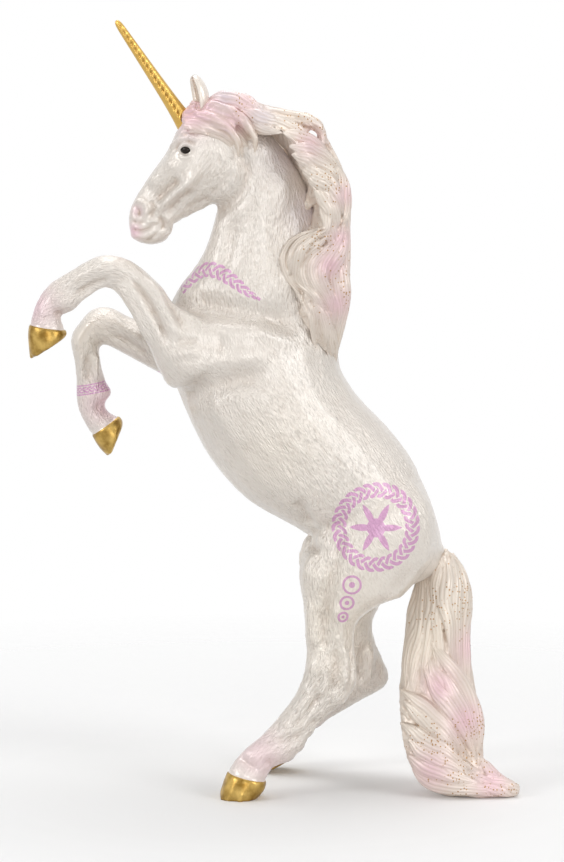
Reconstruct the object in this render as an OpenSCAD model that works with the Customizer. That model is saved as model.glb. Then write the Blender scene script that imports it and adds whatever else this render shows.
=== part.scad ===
// Rearing unicorn figurine, standing on its two hind hooves and the tip of its tail.
// X runs along the body with the head towards -X, Y across it with the left side towards -Y, Z up.
// The floor is z = 0 and the origin lies on it under the middle of the figure.

/* [Trunk] */
// Height of the hips above the floor
hip_h = 47.7; // [43:0.1:52]
// Place of the hips along the body
hip_x = 17.3; // [14:0.1:20]
// Run of the trunk from rump to chest
trunk_run = 63; // [56:0.5:70]
// Rise of the trunk from hips to neck
trunk_rise = 66; // [60:0.5:72]
// Width of the trunk across the ribs
trunk_w = 35; // [31:0.5:39]
// Width of the dock that carries the tail
dock_w = 7; // [6:0.1:8]

/* [Neck and head] */
// Run of the neck where it leaves the trunk
neck_run = 37.7; // [34:0.1:41]
// Rise of the neck and crest
neck_rise = 51.8; // [47:0.1:56]
// Width of the neck at its base
neck_w = 26; // [23:0.5:29]
// Run of the head from throat to lips
head_run = 20.3; // [18:0.1:22]
// Rise of the head from throat to poll
head_rise = 25; // [23:0.1:27]
// Width of the head at the eyes
head_w = 13.4; // [12:0.1:15]
// Diameter of an eye
eye_d = 2.4; // [2:0.1:2.8]
// Length of an ear
ear_l = 7.1; // [6:0.1:8.5]
// Width of an ear across the body
ear_w = 3.4; // [3:0.1:4]
// Distance between the ears
ear_spread = 7.4; // [6.6:0.1:8.2]

/* [Horn] */
// Length of the horn outside the forehead
horn_l = 26.6; // [22:0.1:30]
// Diameter of the horn at the forehead
horn_d = 4.2; // [3.6:0.1:4.8]
// Diameter of the horn at its tip
horn_tip_d = 1.7; // [1.3:0.1:2.2]
// Lean of the horn from upright
horn_lean = 34; // [28:0.5:40]
// Turns of the spiral along the horn
horn_turns = 10; // [7:1:12]
// Depth of the horn's seat in the forehead
horn_seat = 2.6; // [2:0.1:3.2]

/* [Hair] */
// Width of the mane over both sides of the neck
mane_w = 21; // [19:0.5:23]
// Thickness of a lock of the mane
lock_d = 3.4; // [2.8:0.1:4]
// Thickness of a lock of the forelock
forelock_d = 3; // [2.4:0.1:3.4]
// Run of the tail from dock to tip
tail_run = 19.8; // [17:0.1:22]
// Width of the tail across the body
tail_w = 14; // [12:0.5:16]
// How far the tip of the tail swings to the left
tail_swing = 13; // [8:0.5:15]

/* [Forelegs] */
// Distance between the shoulders
shoulder_spread = 18; // [16:0.5:20]
// Width of a foreleg at the shoulder
foreleg_w = 14; // [12:0.5:16]
// Reach of the raised left foreleg
left_fore_reach = 33.2; // [29:0.1:37]
// Rise of the raised left foreleg
left_fore_rise = 23.5; // [21:0.1:26]
// Reach of the tucked right foreleg
right_fore_reach = 23.5; // [21:0.1:26]
// Drop of the tucked right foreleg
right_fore_drop = 23.5; // [21:0.1:26]

/* [Hind legs] */
// Distance between the hips
hip_spread = 19.6; // [18:0.1:21]
// Distance between the hind hooves
stance_w = 30; // [27:0.5:33]
// Width of a hind leg at the hip
hind_leg_w = 16; // [14:0.5:18]
// Reach of a hind leg forward from the hip
hind_reach = 31; // [28:0.1:34]
// Width of a hind hoof at the floor
hoof_w = 10.4; // [9.4:0.1:11.4]

/* [Joints between pieces] */
// Diameter of the pins on legs, neck and tail
pin_d = 3.6; // [3:0.1:4]
// Length of the pins
pin_l = 4; // [3:0.1:5]
// Depth at which a pin is rooted in its own piece
pin_root = 1; // [0.5:0.1:2]
// Clearance round and beyond a pin
pin_fit = 0.1; // [0.05:0.01:0.2]

/* [Hidden] */

white = [0.93, 0.91, 0.89];
gold = [0.80, 0.60, 0.20];
blush = [0.94, 0.80, 0.88];
black = [0.06, 0.05, 0.06];

left = -1;
right = 1;

// A rung is one cross-section of a limb or of the body, drawn between two points of its side outline.
// Rows of a share table: front x, front z, rear x, rear z, width, place across, roundness, egg shape.
// Roundness 1 is an ellipse and less is squarer, and egg shape above 0 is wider at the rear point.

trunk_shares = [
    [-0.670, 0.995, -0.045, 0.820, 0.82, 0, 1.00, 0.00],
    [-0.675, 0.910, -0.035, 0.770, 0.90, 0, 1.00, 0.00],
    [-0.670, 0.810, -0.005, 0.720, 0.96, 0, 0.95, -0.05],
    [-0.645, 0.710, 0.028, 0.675, 1.00, 0, 0.95, -0.08],
    [-0.603, 0.610, 0.073, 0.630, 1.00, 0, 0.95, -0.10],
    [-0.542, 0.490, 0.128, 0.577, 1.00, 0, 0.95, -0.10],
    [-0.465, 0.388, 0.180, 0.518, 1.00, 0, 0.95, -0.10],
    [-0.378, 0.306, 0.225, 0.458, 0.97, 0, 0.95, -0.06],
    [-0.278, 0.250, 0.260, 0.388, 0.92, 0, 0.95, 0.00],
    [-0.185, 0.200, 0.297, 0.308, 0.86, 0, 0.95, 0.06],
    [-0.105, 0.138, 0.325, 0.226, 0.80, 0, 0.95, 0.10],
    [-0.030, 0.065, 0.342, 0.150, 0.70, 0, 0.95, 0.10],
    [0.060, 0.010, 0.340, 0.085, 0.55, 0, 1.00, 0.00],
    [0.150, -0.020, 0.318, 0.045, 0.30, 0, 1.00, 0.00]
];
haunch_shares = [
    [0.080, 0.375, 0.225, 0.400, 0.48, 0.70, 1.00, 0],
    [-0.025, 0.320, 0.290, 0.320, 0.92, 0.80, 1.00, 0],
    [-0.120, 0.230, 0.320, 0.220, 1.08, 0.88, 0.95, 0],
    [-0.175, 0.140, 0.305, 0.110, 1.10, 0.94, 0.95, 0]
];
hip_seam_shares = [-0.190, 0.065, 0.190, -0.020, 1, 1, 0.95, 0];
left_shoulder_shares = [
    [-0.410, 0.935, -0.330, 0.780, 0.50, 0.90, 1, 0],
    [-0.515, 0.965, -0.460, 0.740, 0.90, 0.95, 1, 0],
    [-0.595, 0.995, -0.580, 0.725, 0.98, 1.00, 1, 0]
];
left_shoulder_seam_shares = [-0.660, 1.030, -0.660, 0.735, 1, 1, 1, 0];
right_shoulder_shares = [
    [-0.410, 0.900, -0.330, 0.780, 0.50, 0.90, 1, 0],
    [-0.515, 0.915, -0.460, 0.740, 0.90, 0.95, 1, 0],
    [-0.595, 0.925, -0.580, 0.725, 0.98, 1.00, 1, 0]
];
right_shoulder_seam_shares = [-0.660, 0.935, -0.655, 0.725, 1, 1, 1, 0];
neck_seam_shares = [-0.640, 1.055, -0.050, 0.870, 1, 0, 1, -0.05];
dock_shares = [[0.180, 0.140, 0.275, 0.210, 0.9, 0, 1, 0]];
dock_seam_shares = [0.285, 0.065, 0.360, 0.125, 1, 0, 1, 0];

neck_shares = [
    [-0.420, 0.190, 0.490, 0.010, 0.90, 0, 1.00, -0.05],
    [-0.355, 0.255, 0.470, 0.140, 0.82, 0, 1.00, -0.08],
    [-0.310, 0.320, 0.435, 0.275, 0.74, 0, 1.00, -0.10],
    [-0.285, 0.375, 0.390, 0.405, 0.67, 0, 1.00, -0.12],
    [-0.265, 0.425, 0.340, 0.525, 0.62, 0, 1.00, -0.12],
    [-0.255, 0.465, 0.265, 0.645, 0.58, 0, 1.00, -0.12],
    [-0.247, 0.490, 0.155, 0.755, 0.54, 0, 1.00, -0.10],
    [-0.247, 0.503, 0.015, 0.865, 0.51, 0, 1.00, -0.06],
    [-0.253, 0.508, -0.120, 0.940, 0.48, 0, 0.95, 0.00]
];
throat_shares = [-0.253, 0.508];
head_shares = [
    [-0.035, -0.010, -0.010, 1.000, 0.92, 0, 0.90, 0.08],
    [-0.080, -0.020, -0.200, 0.935, 0.97, 0, 0.90, 0.12],
    [-0.140, -0.040, -0.335, 0.840, 1.00, 0, 0.88, 0.15],
    [-0.220, -0.065, -0.430, 0.715, 0.98, 0, 0.88, 0.15],
    [-0.315, -0.105, -0.500, 0.585, 0.90, 0, 0.88, 0.12],
    [-0.395, -0.150, -0.575, 0.465, 0.79, 0, 0.88, 0.08],
    [-0.455, -0.190, -0.665, 0.365, 0.69, 0, 0.88, 0.04],
    [-0.490, -0.225, -0.755, 0.265, 0.61, 0, 0.90, 0.00],
    [-0.510, -0.265, -0.835, 0.170, 0.57, 0, 0.90, 0.00],
    [-0.535, -0.305, -0.905, 0.080, 0.55, 0, 0.90, 0.00],
    [-0.585, -0.350, -0.965, -0.010, 0.57, 0, 0.90, 0.00],
    [-0.665, -0.378, -1.000, -0.095, 0.58, 0, 0.90, 0.00],
    [-0.755, -0.385, -1.005, -0.180, 0.53, 0, 0.95, 0.00],
    [-0.835, -0.375, -0.990, -0.255, 0.42, 0, 1.00, 0.00],
    [-0.895, -0.360, -0.965, -0.310, 0.24, 0, 1.00, 0.00]
];
horn_share = [-0.405, 0.810];
eye_share = [-0.370, 0.490];
// How far out of the head's middle an eye's seat lies, in half widths of the head
eye_seat_share = 0.66;
eye_out_share = 0.87;
ear_place_share = [-0.128, 0.905];
ear_shares = [
    [-0.13, -0.33, 0.30, -0.10, 0.80, 0.90, 1, 0],
    [-0.27, 0.07, 0.17, 0.27, 1.00, 1.00, 1, 0],
    [-0.40, 0.33, 0.03, 0.53, 0.95, 1.05, 1, 0],
    [-0.50, 0.60, -0.13, 0.73, 0.72, 1.08, 1, 0],
    [-0.47, 0.80, -0.27, 0.87, 0.42, 1.10, 1, 0],
    [-0.40, 0.91, -0.34, 0.93, 0.15, 1.12, 1, 0]
];
// How far the right ear is pricked ahead of the left one, in ear lengths
ear_prick_share = 0.12;

left_foreleg_shares = [
    [-0.060, 0.545, -0.085, -0.285, 0.93, 1.00, 1.00, 0],
    [-0.115, 0.625, -0.140, -0.095, 0.82, 1.00, 1.00, 0],
    [-0.165, 0.690, -0.205, 0.070, 0.72, 1.00, 1.00, 0],
    [-0.225, 0.760, -0.265, 0.240, 0.63, 1.00, 1.00, 0],
    [-0.295, 0.820, -0.320, 0.370, 0.56, 1.00, 1.00, 0],
    [-0.380, 0.858, -0.385, 0.500, 0.53, 0.99, 0.95, 0],
    [-0.460, 0.865, -0.455, 0.545, 0.54, 0.98, 0.90, 0],
    [-0.525, 0.845, -0.510, 0.530, 0.50, 0.97, 0.92, 0],
    [-0.600, 0.795, -0.560, 0.480, 0.44, 0.96, 1.00, 0],
    [-0.680, 0.725, -0.625, 0.395, 0.41, 0.95, 1.00, 0],
    [-0.765, 0.655, -0.695, 0.310, 0.42, 0.94, 1.00, 0],
    [-0.840, 0.585, -0.745, 0.270, 0.48, 0.93, 1.00, 0],
    [-0.900, 0.490, -0.780, 0.240, 0.45, 0.92, 1.00, 0],
    [-0.950, 0.360, -0.765, 0.205, 0.45, 0.91, 1.00, 0],
    [-0.990, 0.175, -0.740, 0.120, 0.57, 0.90, 0.95, 0]
];
left_fore_hoof_shares = [
    [-1.000, 0.060, -0.730, 0.095, 0.61, 0.90, 0.95, 0],
    [-0.985, -0.170, -0.735, 0.060, 0.63, 0.90, 0.95, 0.1]
];
right_foreleg_shares = [
    [-0.150, 0.270, -0.150, -0.235, 0.88, 1.00, 1.00, 0],
    [-0.290, 0.290, -0.290, -0.165, 0.78, 1.00, 1.00, 0],
    [-0.425, 0.310, -0.415, -0.095, 0.70, 1.00, 1.00, 0],
    [-0.555, 0.350, -0.535, -0.030, 0.62, 1.00, 1.00, 0],
    [-0.685, 0.385, -0.635, 0.025, 0.57, 1.00, 0.95, 0],
    [-0.805, 0.350, -0.705, 0.050, 0.56, 0.99, 0.90, 0],
    [-0.915, 0.265, -0.740, 0.035, 0.55, 0.98, 0.90, 0],
    [-0.990, 0.175, -0.750, 0.000, 0.54, 0.97, 0.92, 0],
    [-1.025, 0.065, -0.745, -0.065, 0.50, 0.96, 0.95, 0],
    [-1.010, -0.070, -0.730, -0.150, 0.44, 0.95, 1.00, 0],
    [-0.990, -0.210, -0.705, -0.245, 0.41, 0.94, 1.00, 0],
    [-0.985, -0.355, -0.680, -0.350, 0.44, 0.93, 1.00, 0],
    [-0.985, -0.485, -0.665, -0.455, 0.47, 0.92, 1.00, 0],
    [-0.960, -0.615, -0.700, -0.560, 0.44, 0.91, 1.00, 0],
    [-0.900, -0.740, -0.655, -0.635, 0.46, 0.90, 1.00, 0],
    [-0.825, -0.860, -0.560, -0.670, 0.57, 0.90, 0.95, 0]
];
right_fore_hoof_shares = [
    [-0.765, -0.970, -0.530, -0.700, 0.61, 0.90, 0.95, 0],
    [-0.655, -1.090, -0.515, -0.745, 0.63, 0.90, 0.95, 0.1]
];
left_hind_leg_shares = [
    [-0.380, 1.015, 0.250, 0.945, 0.90, 1.02, 0.95, 0],
    [-0.360, 0.945, 0.130, 0.900, 0.78, 1.05, 1.00, 0],
    [-0.350, 0.865, 0.055, 0.855, 0.66, 1.09, 1.00, 0],
    [-0.345, 0.785, 0.025, 0.790, 0.57, 1.14, 1.00, 0],
    [-0.335, 0.705, 0.030, 0.710, 0.53, 1.19, 1.00, 0],
    [-0.345, 0.640, 0.045, 0.635, 0.53, 1.24, 0.95, 0],
    [-0.370, 0.575, 0.045, 0.560, 0.52, 1.29, 0.95, 0],
    [-0.410, 0.515, -0.010, 0.495, 0.48, 1.34, 0.95, 0],
    [-0.460, 0.465, -0.100, 0.440, 0.43, 1.38, 1.00, 0],
    [-0.525, 0.415, -0.195, 0.385, 0.39, 1.42, 1.00, 0],
    [-0.590, 0.362, -0.280, 0.338, 0.38, 1.45, 1.00, 0],
    [-0.660, 0.315, -0.345, 0.288, 0.39, 1.48, 1.00, 0],
    [-0.725, 0.275, -0.400, 0.245, 0.44, 1.50, 1.00, 0],
    [-0.785, 0.240, -0.470, 0.203, 0.44, 1.51, 1.00, 0],
    [-0.845, 0.205, -0.540, 0.163, 0.42, 1.52, 1.00, 0],
    [-0.890, 0.170, -0.605, 0.132, 0.43, 1.53, 1.00, 0]
];
right_hind_leg_shares = [
    [-0.365, 1.010, 0.310, 0.920, 0.90, 1.02, 0.95, 0],
    [-0.325, 0.930, 0.250, 0.875, 0.78, 1.05, 1.00, 0],
    [-0.275, 0.855, 0.205, 0.820, 0.66, 1.09, 1.00, 0],
    [-0.225, 0.770, 0.180, 0.760, 0.57, 1.14, 1.00, 0],
    [-0.185, 0.690, 0.195, 0.690, 0.53, 1.19, 1.00, 0],
    [-0.145, 0.620, 0.235, 0.620, 0.53, 1.24, 0.95, 0],
    [-0.105, 0.550, 0.285, 0.550, 0.53, 1.29, 0.95, 0],
    [-0.090, 0.485, 0.315, 0.485, 0.52, 1.33, 0.95, 0],
    [-0.125, 0.425, 0.265, 0.432, 0.48, 1.37, 0.95, 0],
    [-0.190, 0.380, 0.160, 0.392, 0.43, 1.40, 1.00, 0],
    [-0.270, 0.342, 0.055, 0.352, 0.39, 1.43, 1.00, 0],
    [-0.355, 0.306, -0.045, 0.312, 0.38, 1.46, 1.00, 0],
    [-0.435, 0.276, -0.150, 0.272, 0.39, 1.48, 1.00, 0],
    [-0.500, 0.256, -0.235, 0.236, 0.44, 1.50, 1.00, 0],
    [-0.545, 0.238, -0.295, 0.205, 0.43, 1.52, 1.00, 0]
];
left_hind_hoof_shares = [
    [-0.925, 0.130, -0.640, 0.085, 0.86, 1, 0.95, 0],
    [-0.960, 0.070, -0.635, 0.055, 0.95, 1, 0.92, 0.02],
    [-0.990, 0.000, -0.700, 0.000, 1.00, 1, 0.90, 0.04]
];
// The right hind hoof stands on its toe with the heel raised
right_hind_hoof_shares = [
    [-0.595, 0.208, -0.335, 0.170, 0.86, 1, 0.95, 0],
    [-0.650, 0.110, -0.355, 0.130, 0.95, 1, 0.92, 0.02],
    [-0.705, -0.020, -0.405, 0.096, 1.00, 1, 0.90, 0.04]
];

tail_shares = [
    [-0.215, 0.920, 0.240, 0.990, 0.50, 0.00, 1.00, 0],
    [-0.275, 0.860, 0.320, 0.920, 0.66, 0.02, 1.00, 0],
    [-0.300, 0.785, 0.350, 0.830, 0.78, 0.08, 1.00, 0],
    [-0.325, 0.690, 0.360, 0.725, 0.86, 0.16, 1.00, 0],
    [-0.370, 0.605, 0.370, 0.630, 0.93, 0.26, 1.00, 0],
    [-0.420, 0.515, 0.395, 0.535, 0.98, 0.36, 1.00, 0],
    [-0.440, 0.440, 0.435, 0.440, 1.00, 0.46, 1.00, 0],
    [-0.430, 0.365, 0.490, 0.350, 1.00, 0.56, 1.00, 0],
    [-0.415, 0.290, 0.525, 0.265, 0.98, 0.66, 1.00, 0],
    [-0.385, 0.215, 0.520, 0.195, 0.94, 0.75, 1.00, 0],
    [-0.325, 0.145, 0.550, 0.135, 0.90, 0.83, 1.00, 0],
    [-0.215, 0.080, 0.650, 0.095, 0.84, 0.90, 1.00, 0],
    [-0.010, 0.020, 0.775, 0.075, 0.74, 0.95, 1.00, 0],
    [0.280, -0.012, 0.870, 0.060, 0.60, 1.00, 1.00, 0],
    [0.600, -0.016, 0.930, 0.045, 0.42, 1.00, 1.00, 0],
    [0.810, -0.012, 0.960, 0.028, 0.22, 1.00, 1.00, 0],
    [0.915, -0.008, 0.965, 0.012, 0.08, 1.00, 1.00, 0]
];
mane_shares = [
    [-0.300, 0.950, -0.240, 0.990, 0.30, 0, 0.80, 0],
    [-0.220, 0.905, -0.085, 0.988, 0.46, 0, 0.80, 0],
    [-0.135, 0.855, 0.040, 0.945, 0.56, 0, 0.80, 0],
    [-0.045, 0.795, 0.180, 0.885, 0.64, 0, 0.80, 0],
    [0.030, 0.740, 0.310, 0.815, 0.70, 0, 0.80, 0],
    [0.105, 0.680, 0.430, 0.745, 0.75, 0, 0.80, 0],
    [0.170, 0.615, 0.510, 0.670, 0.79, 0, 0.80, 0],
    [0.220, 0.550, 0.545, 0.590, 0.82, 0, 0.80, 0],
    [0.255, 0.480, 0.560, 0.510, 0.85, 0, 0.80, 0],
    [0.250, 0.410, 0.560, 0.425, 0.89, 0, 0.80, 0],
    [0.205, 0.335, 0.552, 0.345, 0.93, 0, 0.80, 0],
    [0.160, 0.260, 0.548, 0.270, 0.97, 0, 0.80, 0],
    [0.165, 0.180, 0.555, 0.195, 1.00, 0, 0.80, 0],
    [0.205, 0.100, 0.565, 0.115, 1.00, 0, 0.80, 0],
    [0.255, 0.020, 0.555, 0.030, 0.95, 0, 0.80, 0],
    [0.305, -0.065, 0.535, -0.055, 0.82, 0, 0.85, 0],
    [0.355, -0.140, 0.510, -0.130, 0.62, 0, 0.90, 0],
    [0.415, -0.200, 0.490, -0.205, 0.30, 0, 1.00, 0]
];
// Locks of the mane as points along each: x, z, place across in half widths of the mane, thickness
crest_lock_shares = [
    [-0.060, 0.945, 0.00, 0.90], [0.080, 0.910, 0.00, 1.10], [0.190, 0.890, -0.05, 1.20],
    [0.300, 0.880, -0.08, 1.10], [0.375, 0.855, -0.10, 0.90], [0.402, 0.820, -0.10, 0.70],
    [0.400, 0.780, -0.08, 0.80], [0.370, 0.740, -0.05, 0.80]
];
side_lock_shares = [
    [
        [0.080, 0.850, 0.62, 0.70], [0.190, 0.790, 0.78, 1.00], [0.300, 0.715, 0.82, 1.10],
        [0.360, 0.630, 0.86, 1.05], [0.340, 0.545, 0.92, 0.95], [0.270, 0.470, 0.95, 0.80],
        [0.240, 0.400, 0.92, 0.30]
    ],
    [
        [0.360, 0.700, 0.60, 0.80], [0.455, 0.615, 0.66, 1.10], [0.490, 0.520, 0.74, 1.20],
        [0.440, 0.430, 0.86, 1.15], [0.340, 0.350, 0.96, 1.05], [0.230, 0.280, 1.00, 0.85],
        [0.190, 0.200, 1.00, 0.30]
    ],
    [
        [0.500, 0.480, 0.50, 0.80], [0.520, 0.390, 0.62, 1.10], [0.480, 0.300, 0.78, 1.20],
        [0.400, 0.210, 0.92, 1.15], [0.320, 0.120, 1.00, 1.00], [0.290, 0.030, 1.00, 0.80],
        [0.330, -0.050, 0.95, 0.30]
    ],
    [
        [0.510, 0.280, 0.46, 0.80], [0.530, 0.190, 0.56, 1.10], [0.500, 0.100, 0.70, 1.20],
        [0.440, 0.015, 0.80, 1.10], [0.400, -0.070, 0.80, 0.90], [0.420, -0.150, 0.66, 0.60],
        [0.450, -0.205, 0.50, 0.25]
    ]
];
// Locks of the forelock: x, z, place across in half widths of the head, thickness
forelock_shares = [
    [
        [-0.330, 0.870, 0.30, 0.55], [-0.190, 0.830, 0.80, 0.90], [-0.020, 0.790, 1.00, 1.10],
        [0.150, 0.720, 1.06, 1.05], [0.250, 0.600, 1.08, 0.85], [0.265, 0.420, 1.12, 0.25]
    ],
    [
        [-0.270, 0.930, 0.25, 0.60], [-0.060, 0.920, 0.74, 1.00], [0.170, 0.860, 0.92, 1.15],
        [0.350, 0.760, 1.02, 1.05], [0.450, 0.620, 1.12, 0.80], [0.450, 0.450, 1.18, 0.25]
    ],
    [
        [-0.380, 0.830, 0.34, 0.45], [-0.330, 0.740, 0.74, 0.75], [-0.255, 0.700, 0.94, 0.85],
        [-0.160, 0.690, 1.02, 0.70], [-0.080, 0.640, 1.04, 0.25]
    ]
];

body_sides = 20;
leg_sides = 12;
hair_sides = 20;
lock_sides = 6;
hair_ridges = 5;
horn_sides = 10;
horn_slices_per_turn = 5;
// Height of the ridges on mane and tail, in half thicknesses
hair_ridge_share = 0.10;
hair_twist = 150;
// How flat the horn's turning section is
horn_section_share = 0.86;

hip = [hip_x, hip_h];
shoulder_y = shoulder_spread / 2;
hip_y = hip_spread / 2;
horn_turn = horn_turns * 360;

// Cross-sections in millimetres from a table of shares
function rung(o, run, rise, w, y, s) = [
    o[0] + run * s[0], o[1] + rise * s[1], o[0] + run * s[2], o[1] + rise * s[3],
    w * s[4] / 2, y * s[5], s[6], s[7]
];
function rungs(o, run, rise, w, y, table) = [for (s = table) rung(o, run, rise, w, y, s)];
function trunk_rung(w, y, s) = rung(hip, trunk_run, trunk_rise, w, y, s);
function trunk_rungs(w, y, table) = [for (s = table) trunk_rung(w, y, s)];
function middle(r) = [(r[0] + r[2]) / 2, (r[1] + r[3]) / 2];

// A smooth curve through the rows of a table, with steps places from each row to the next
function blend(a, b, c, d, t) = 0.5 * (
    2 * b + (c - a) * t + (2 * a - 5 * b + 4 * c - d) * t * t + (3 * b - a - 3 * c + d) * t * t * t
);
function smooth(rows, steps) = [
    for (k = [0 : len(rows) - 2], i = [0 : steps - 1])
        blend(rows[max(k - 1, 0)], rows[k], rows[k + 1], rows[min(k + 2, len(rows) - 1)], i / steps),
    rows[len(rows) - 1]
];

function power(v, e) = sign(v) * pow(abs(v), e);
// The closed outline of one rung, never below the floor
function outline(r, sides, ridges = 0, turn = 0) = [
    for (i = [0 : sides - 1])
        let (
            a = 360 * i / sides,
            swell = 1 + (ridges > 0 ? hair_ridge_share * cos(ridges * a + turn) : 0),
            p = power(cos(a), r[6]) * swell,
            q = power(sin(a), r[6]) * swell,
            m = middle(r)
        )
        [
            m[0] + (r[2] - r[0]) / 2 * p,
            r[5] + r[4] * q * (1 + r[7] * p),
            max(m[1] + (r[3] - r[1]) / 2 * p, 0)
        ]
];

function sum(v, i = 0) = i < len(v) ? v[i] + sum(v, i + 1) : 0;
function side_faces(n, sides) = [
    for (k = [0 : n - 2], i = [0 : sides - 1])
        let (a = k * sides + i, b = k * sides + (i + 1) % sides)
        each [[a, b, b + sides], [a, b + sides, a + sides]]
];
function end_faces(n, sides) = [
    for (i = [0 : sides - 1])
        each [
            [(i + 1) % sides, i, n * sides],
            [(n - 1) * sides + i, (n - 1) * sides + (i + 1) % sides, n * sides + 1]
        ]
];
function mean(v) = [for (i = [0 : 2]) sum([for (p = v) p[i]]) / len(v)];
// Twice the flow of the outlines round their path, which tells the way that the faces must turn
function handed(rings) = let (
    n = len(rings),
    k = floor(n / 2),
    c = mean(rings[k]),
    ahead = mean(rings[min(k + 1, n - 1)]) - mean(rings[max(k - 1, 0)]),
    turn = cross(rings[k][0] - c, rings[k][floor(len(rings[k]) / 4)] - c)
) turn * ahead;

// A closed skin over a row of outlines
module loft(rings) {
    sides = len(rings[0]);
    n = len(rings);
    points = [for (r = rings) each r, mean(rings[0]), mean(rings[n - 1])];
    faces = concat(side_faces(n, sides), end_faces(n, sides));
    polyhedron(points, handed(rings) < 0 ? faces : [for (f = faces) [f[2], f[1], f[0]]]);
}

module body_skin(rows, steps = 2, sides = body_sides) {
    loft([for (r = smooth(rows, steps)) outline(r, sides)]);
}

module hair_skin(rows, steps = 2) {
    all = smooth(rows, steps);
    loft([for (k = [0 : len(all) - 1]) outline(all[k], hair_sides, hair_ridges, hair_twist * k / len(all))]);
}

// A rod square to a rung, from its middle towards the piece on the other side
module rod(r, way, d, l, root) {
    m = middle(r);
    lean = atan2(-way * (r[3] - r[1]), way * (r[2] - r[0]));
    translate([m[0], r[5], m[1]]) rotate([0, lean, 0]) translate([0, 0, -root])
        cylinder(d = d, h = l + root, $fn = 32);
}
module pin(r, way) {
    rod(r, way, pin_d, pin_l, pin_root);
}
module socket(r, way) {
    rod(r, way, pin_d + 2 * pin_fit, pin_l + pin_fit, pin_root);
}

// A round lock of hair that swells and tapers along its points
module lock(points, d, steps = 1) {
    all = smooth(points, steps);
    for (k = [0 : len(all) - 2]) hull() {
        lock_bead(all[k], d);
        lock_bead(all[k + 1], d);
    }
}
module lock_bead(p, d) {
    translate([p[0], p[1], p[2]]) sphere(d = d * p[3], $fn = lock_sides);
}

// Places that several pieces share
neck_seam = trunk_rung(neck_w, 0, neck_seam_shares);
neck_at = middle(neck_seam);
throat = [neck_at[0] + neck_run * throat_shares[0], neck_at[1] + neck_rise * throat_shares[1]];
function head_place(s) = [throat[0] + head_run * s[0], throat[1] + head_rise * s[1]];
function hip_seam(side) = trunk_rung(hind_leg_w, side * hip_y, hip_seam_shares);
function shoulder_seam(side) = trunk_rung(
    foreleg_w, side * shoulder_y, side == left ? left_shoulder_seam_shares : right_shoulder_seam_shares
);
dock_seam = trunk_rung(dock_w, 0, dock_seam_shares);
dock_at = middle(dock_seam);

module trunk_skin() {
    body_skin([neck_seam, each trunk_rungs(trunk_w, 0, trunk_shares)]);
}

module torso() {
    color(white) difference() {
        union() {
            trunk_skin();
            for (side = [left, right]) {
                body_skin([
                    each trunk_rungs(hind_leg_w, side * hip_y, haunch_shares), hip_seam(side)
                ], sides = leg_sides);
                body_skin([
                    each trunk_rungs(
                        foreleg_w, side * shoulder_y,
                        side == left ? left_shoulder_shares : right_shoulder_shares
                    ),
                    shoulder_seam(side)
                ], sides = leg_sides);
            }
            body_skin([each trunk_rungs(dock_w, 0, dock_shares), dock_seam], sides = leg_sides);
        }
        socket(neck_seam, -1);
        socket(dock_seam, -1);
        for (side = [left, right]) {
            socket(hip_seam(side), 1);
            socket(shoulder_seam(side), 1);
        }
    }
}

module head_skin() {
    body_skin([
        neck_seam,
        each rungs(neck_at, neck_run, neck_rise, neck_w, 0, neck_shares),
        each rungs(throat, head_run, head_rise, head_w, 0, head_shares)
    ]);
}

module neck_and_head() {
    color(white) difference() {
        union() {
            head_skin();
            pin(neck_seam, -1);
        }
        horn_place() translate([0, 0, -horn_seat]) cylinder(d = horn_d + 2 * pin_fit, h = 2 * horn_seat, $fn = 32);
        for (side = [left, right]) eye_place(side) cylinder(d = eye_d + 2 * pin_fit, h = head_w, $fn = 32);
    }
}

module horn_place() {
    p = head_place(horn_share);
    translate([p[0], 0, p[1]]) rotate([0, -horn_lean, 0]) children();
}
module eye_place(side) {
    p = head_place(eye_share);
    translate([p[0], side * head_w / 2 * eye_seat_share, p[1]]) rotate([-90 * side, 0, 0]) children();
}

module horn() {
    color(gold) horn_place() {
        translate([0, 0, -horn_seat]) cylinder(d = horn_d, h = horn_seat, $fn = 32);
        linear_extrude(
            height = horn_l, twist = horn_turn, scale = horn_tip_d / horn_d,
            slices = horn_turns * horn_slices_per_turn
        ) scale([1, horn_section_share]) circle(d = horn_d, $fn = horn_sides);
    }
}

module eye(side) {
    dome = head_w / 2 * (eye_out_share - eye_seat_share);
    color(black) eye_place(side) intersection() {
        cylinder(d = eye_d, h = dome, $fn = 32);
        translate([0, 0, dome - eye_d]) sphere(r = eye_d, $fn = 48);
    }
}

module ear_skin(side) {
    p = head_place(ear_place_share);
    ahead = side == right ? ear_l * ear_prick_share : 0;
    body_skin(rungs([p[0] - ahead, p[1]], ear_l, ear_l, ear_w, side * ear_spread / 2, ear_shares), sides = leg_sides);
}

module ear(side) {
    color(white) difference() {
        ear_skin(side);
        head_skin();
    }
}

module forelock_hair() {
    for (side = [left, right], row = forelock_shares)
        lock([for (s = row) let (p = head_place(s)) [p[0], side * head_w / 2 * s[2], p[1], s[3]]], forelock_d);
}

module forelock() {
    color(blush) difference() {
        forelock_hair();
        head_skin();
        ear_skin(left);
        ear_skin(right);
        horn();
    }
}

function mane_place(s) = [
    neck_at[0] + neck_run * s[0], s[2] * mane_w / 2, neck_at[1] + neck_rise * s[1], s[3]
];
module mane_hair() {
    hair_skin(rungs(neck_at, neck_run, neck_rise, mane_w, 0, mane_shares), steps = 1);
    lock([for (s = crest_lock_shares) mane_place(s)], lock_d);
    for (side = [left, right], row = side_lock_shares)
        lock([for (s = row) mane_place([s[0], s[1], side * s[2], s[3]])], lock_d);
}

module mane() {
    color(blush) difference() {
        mane_hair();
        head_skin();
        trunk_skin();
        ear_skin(left);
        ear_skin(right);
        forelock_hair();
    }
}

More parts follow.
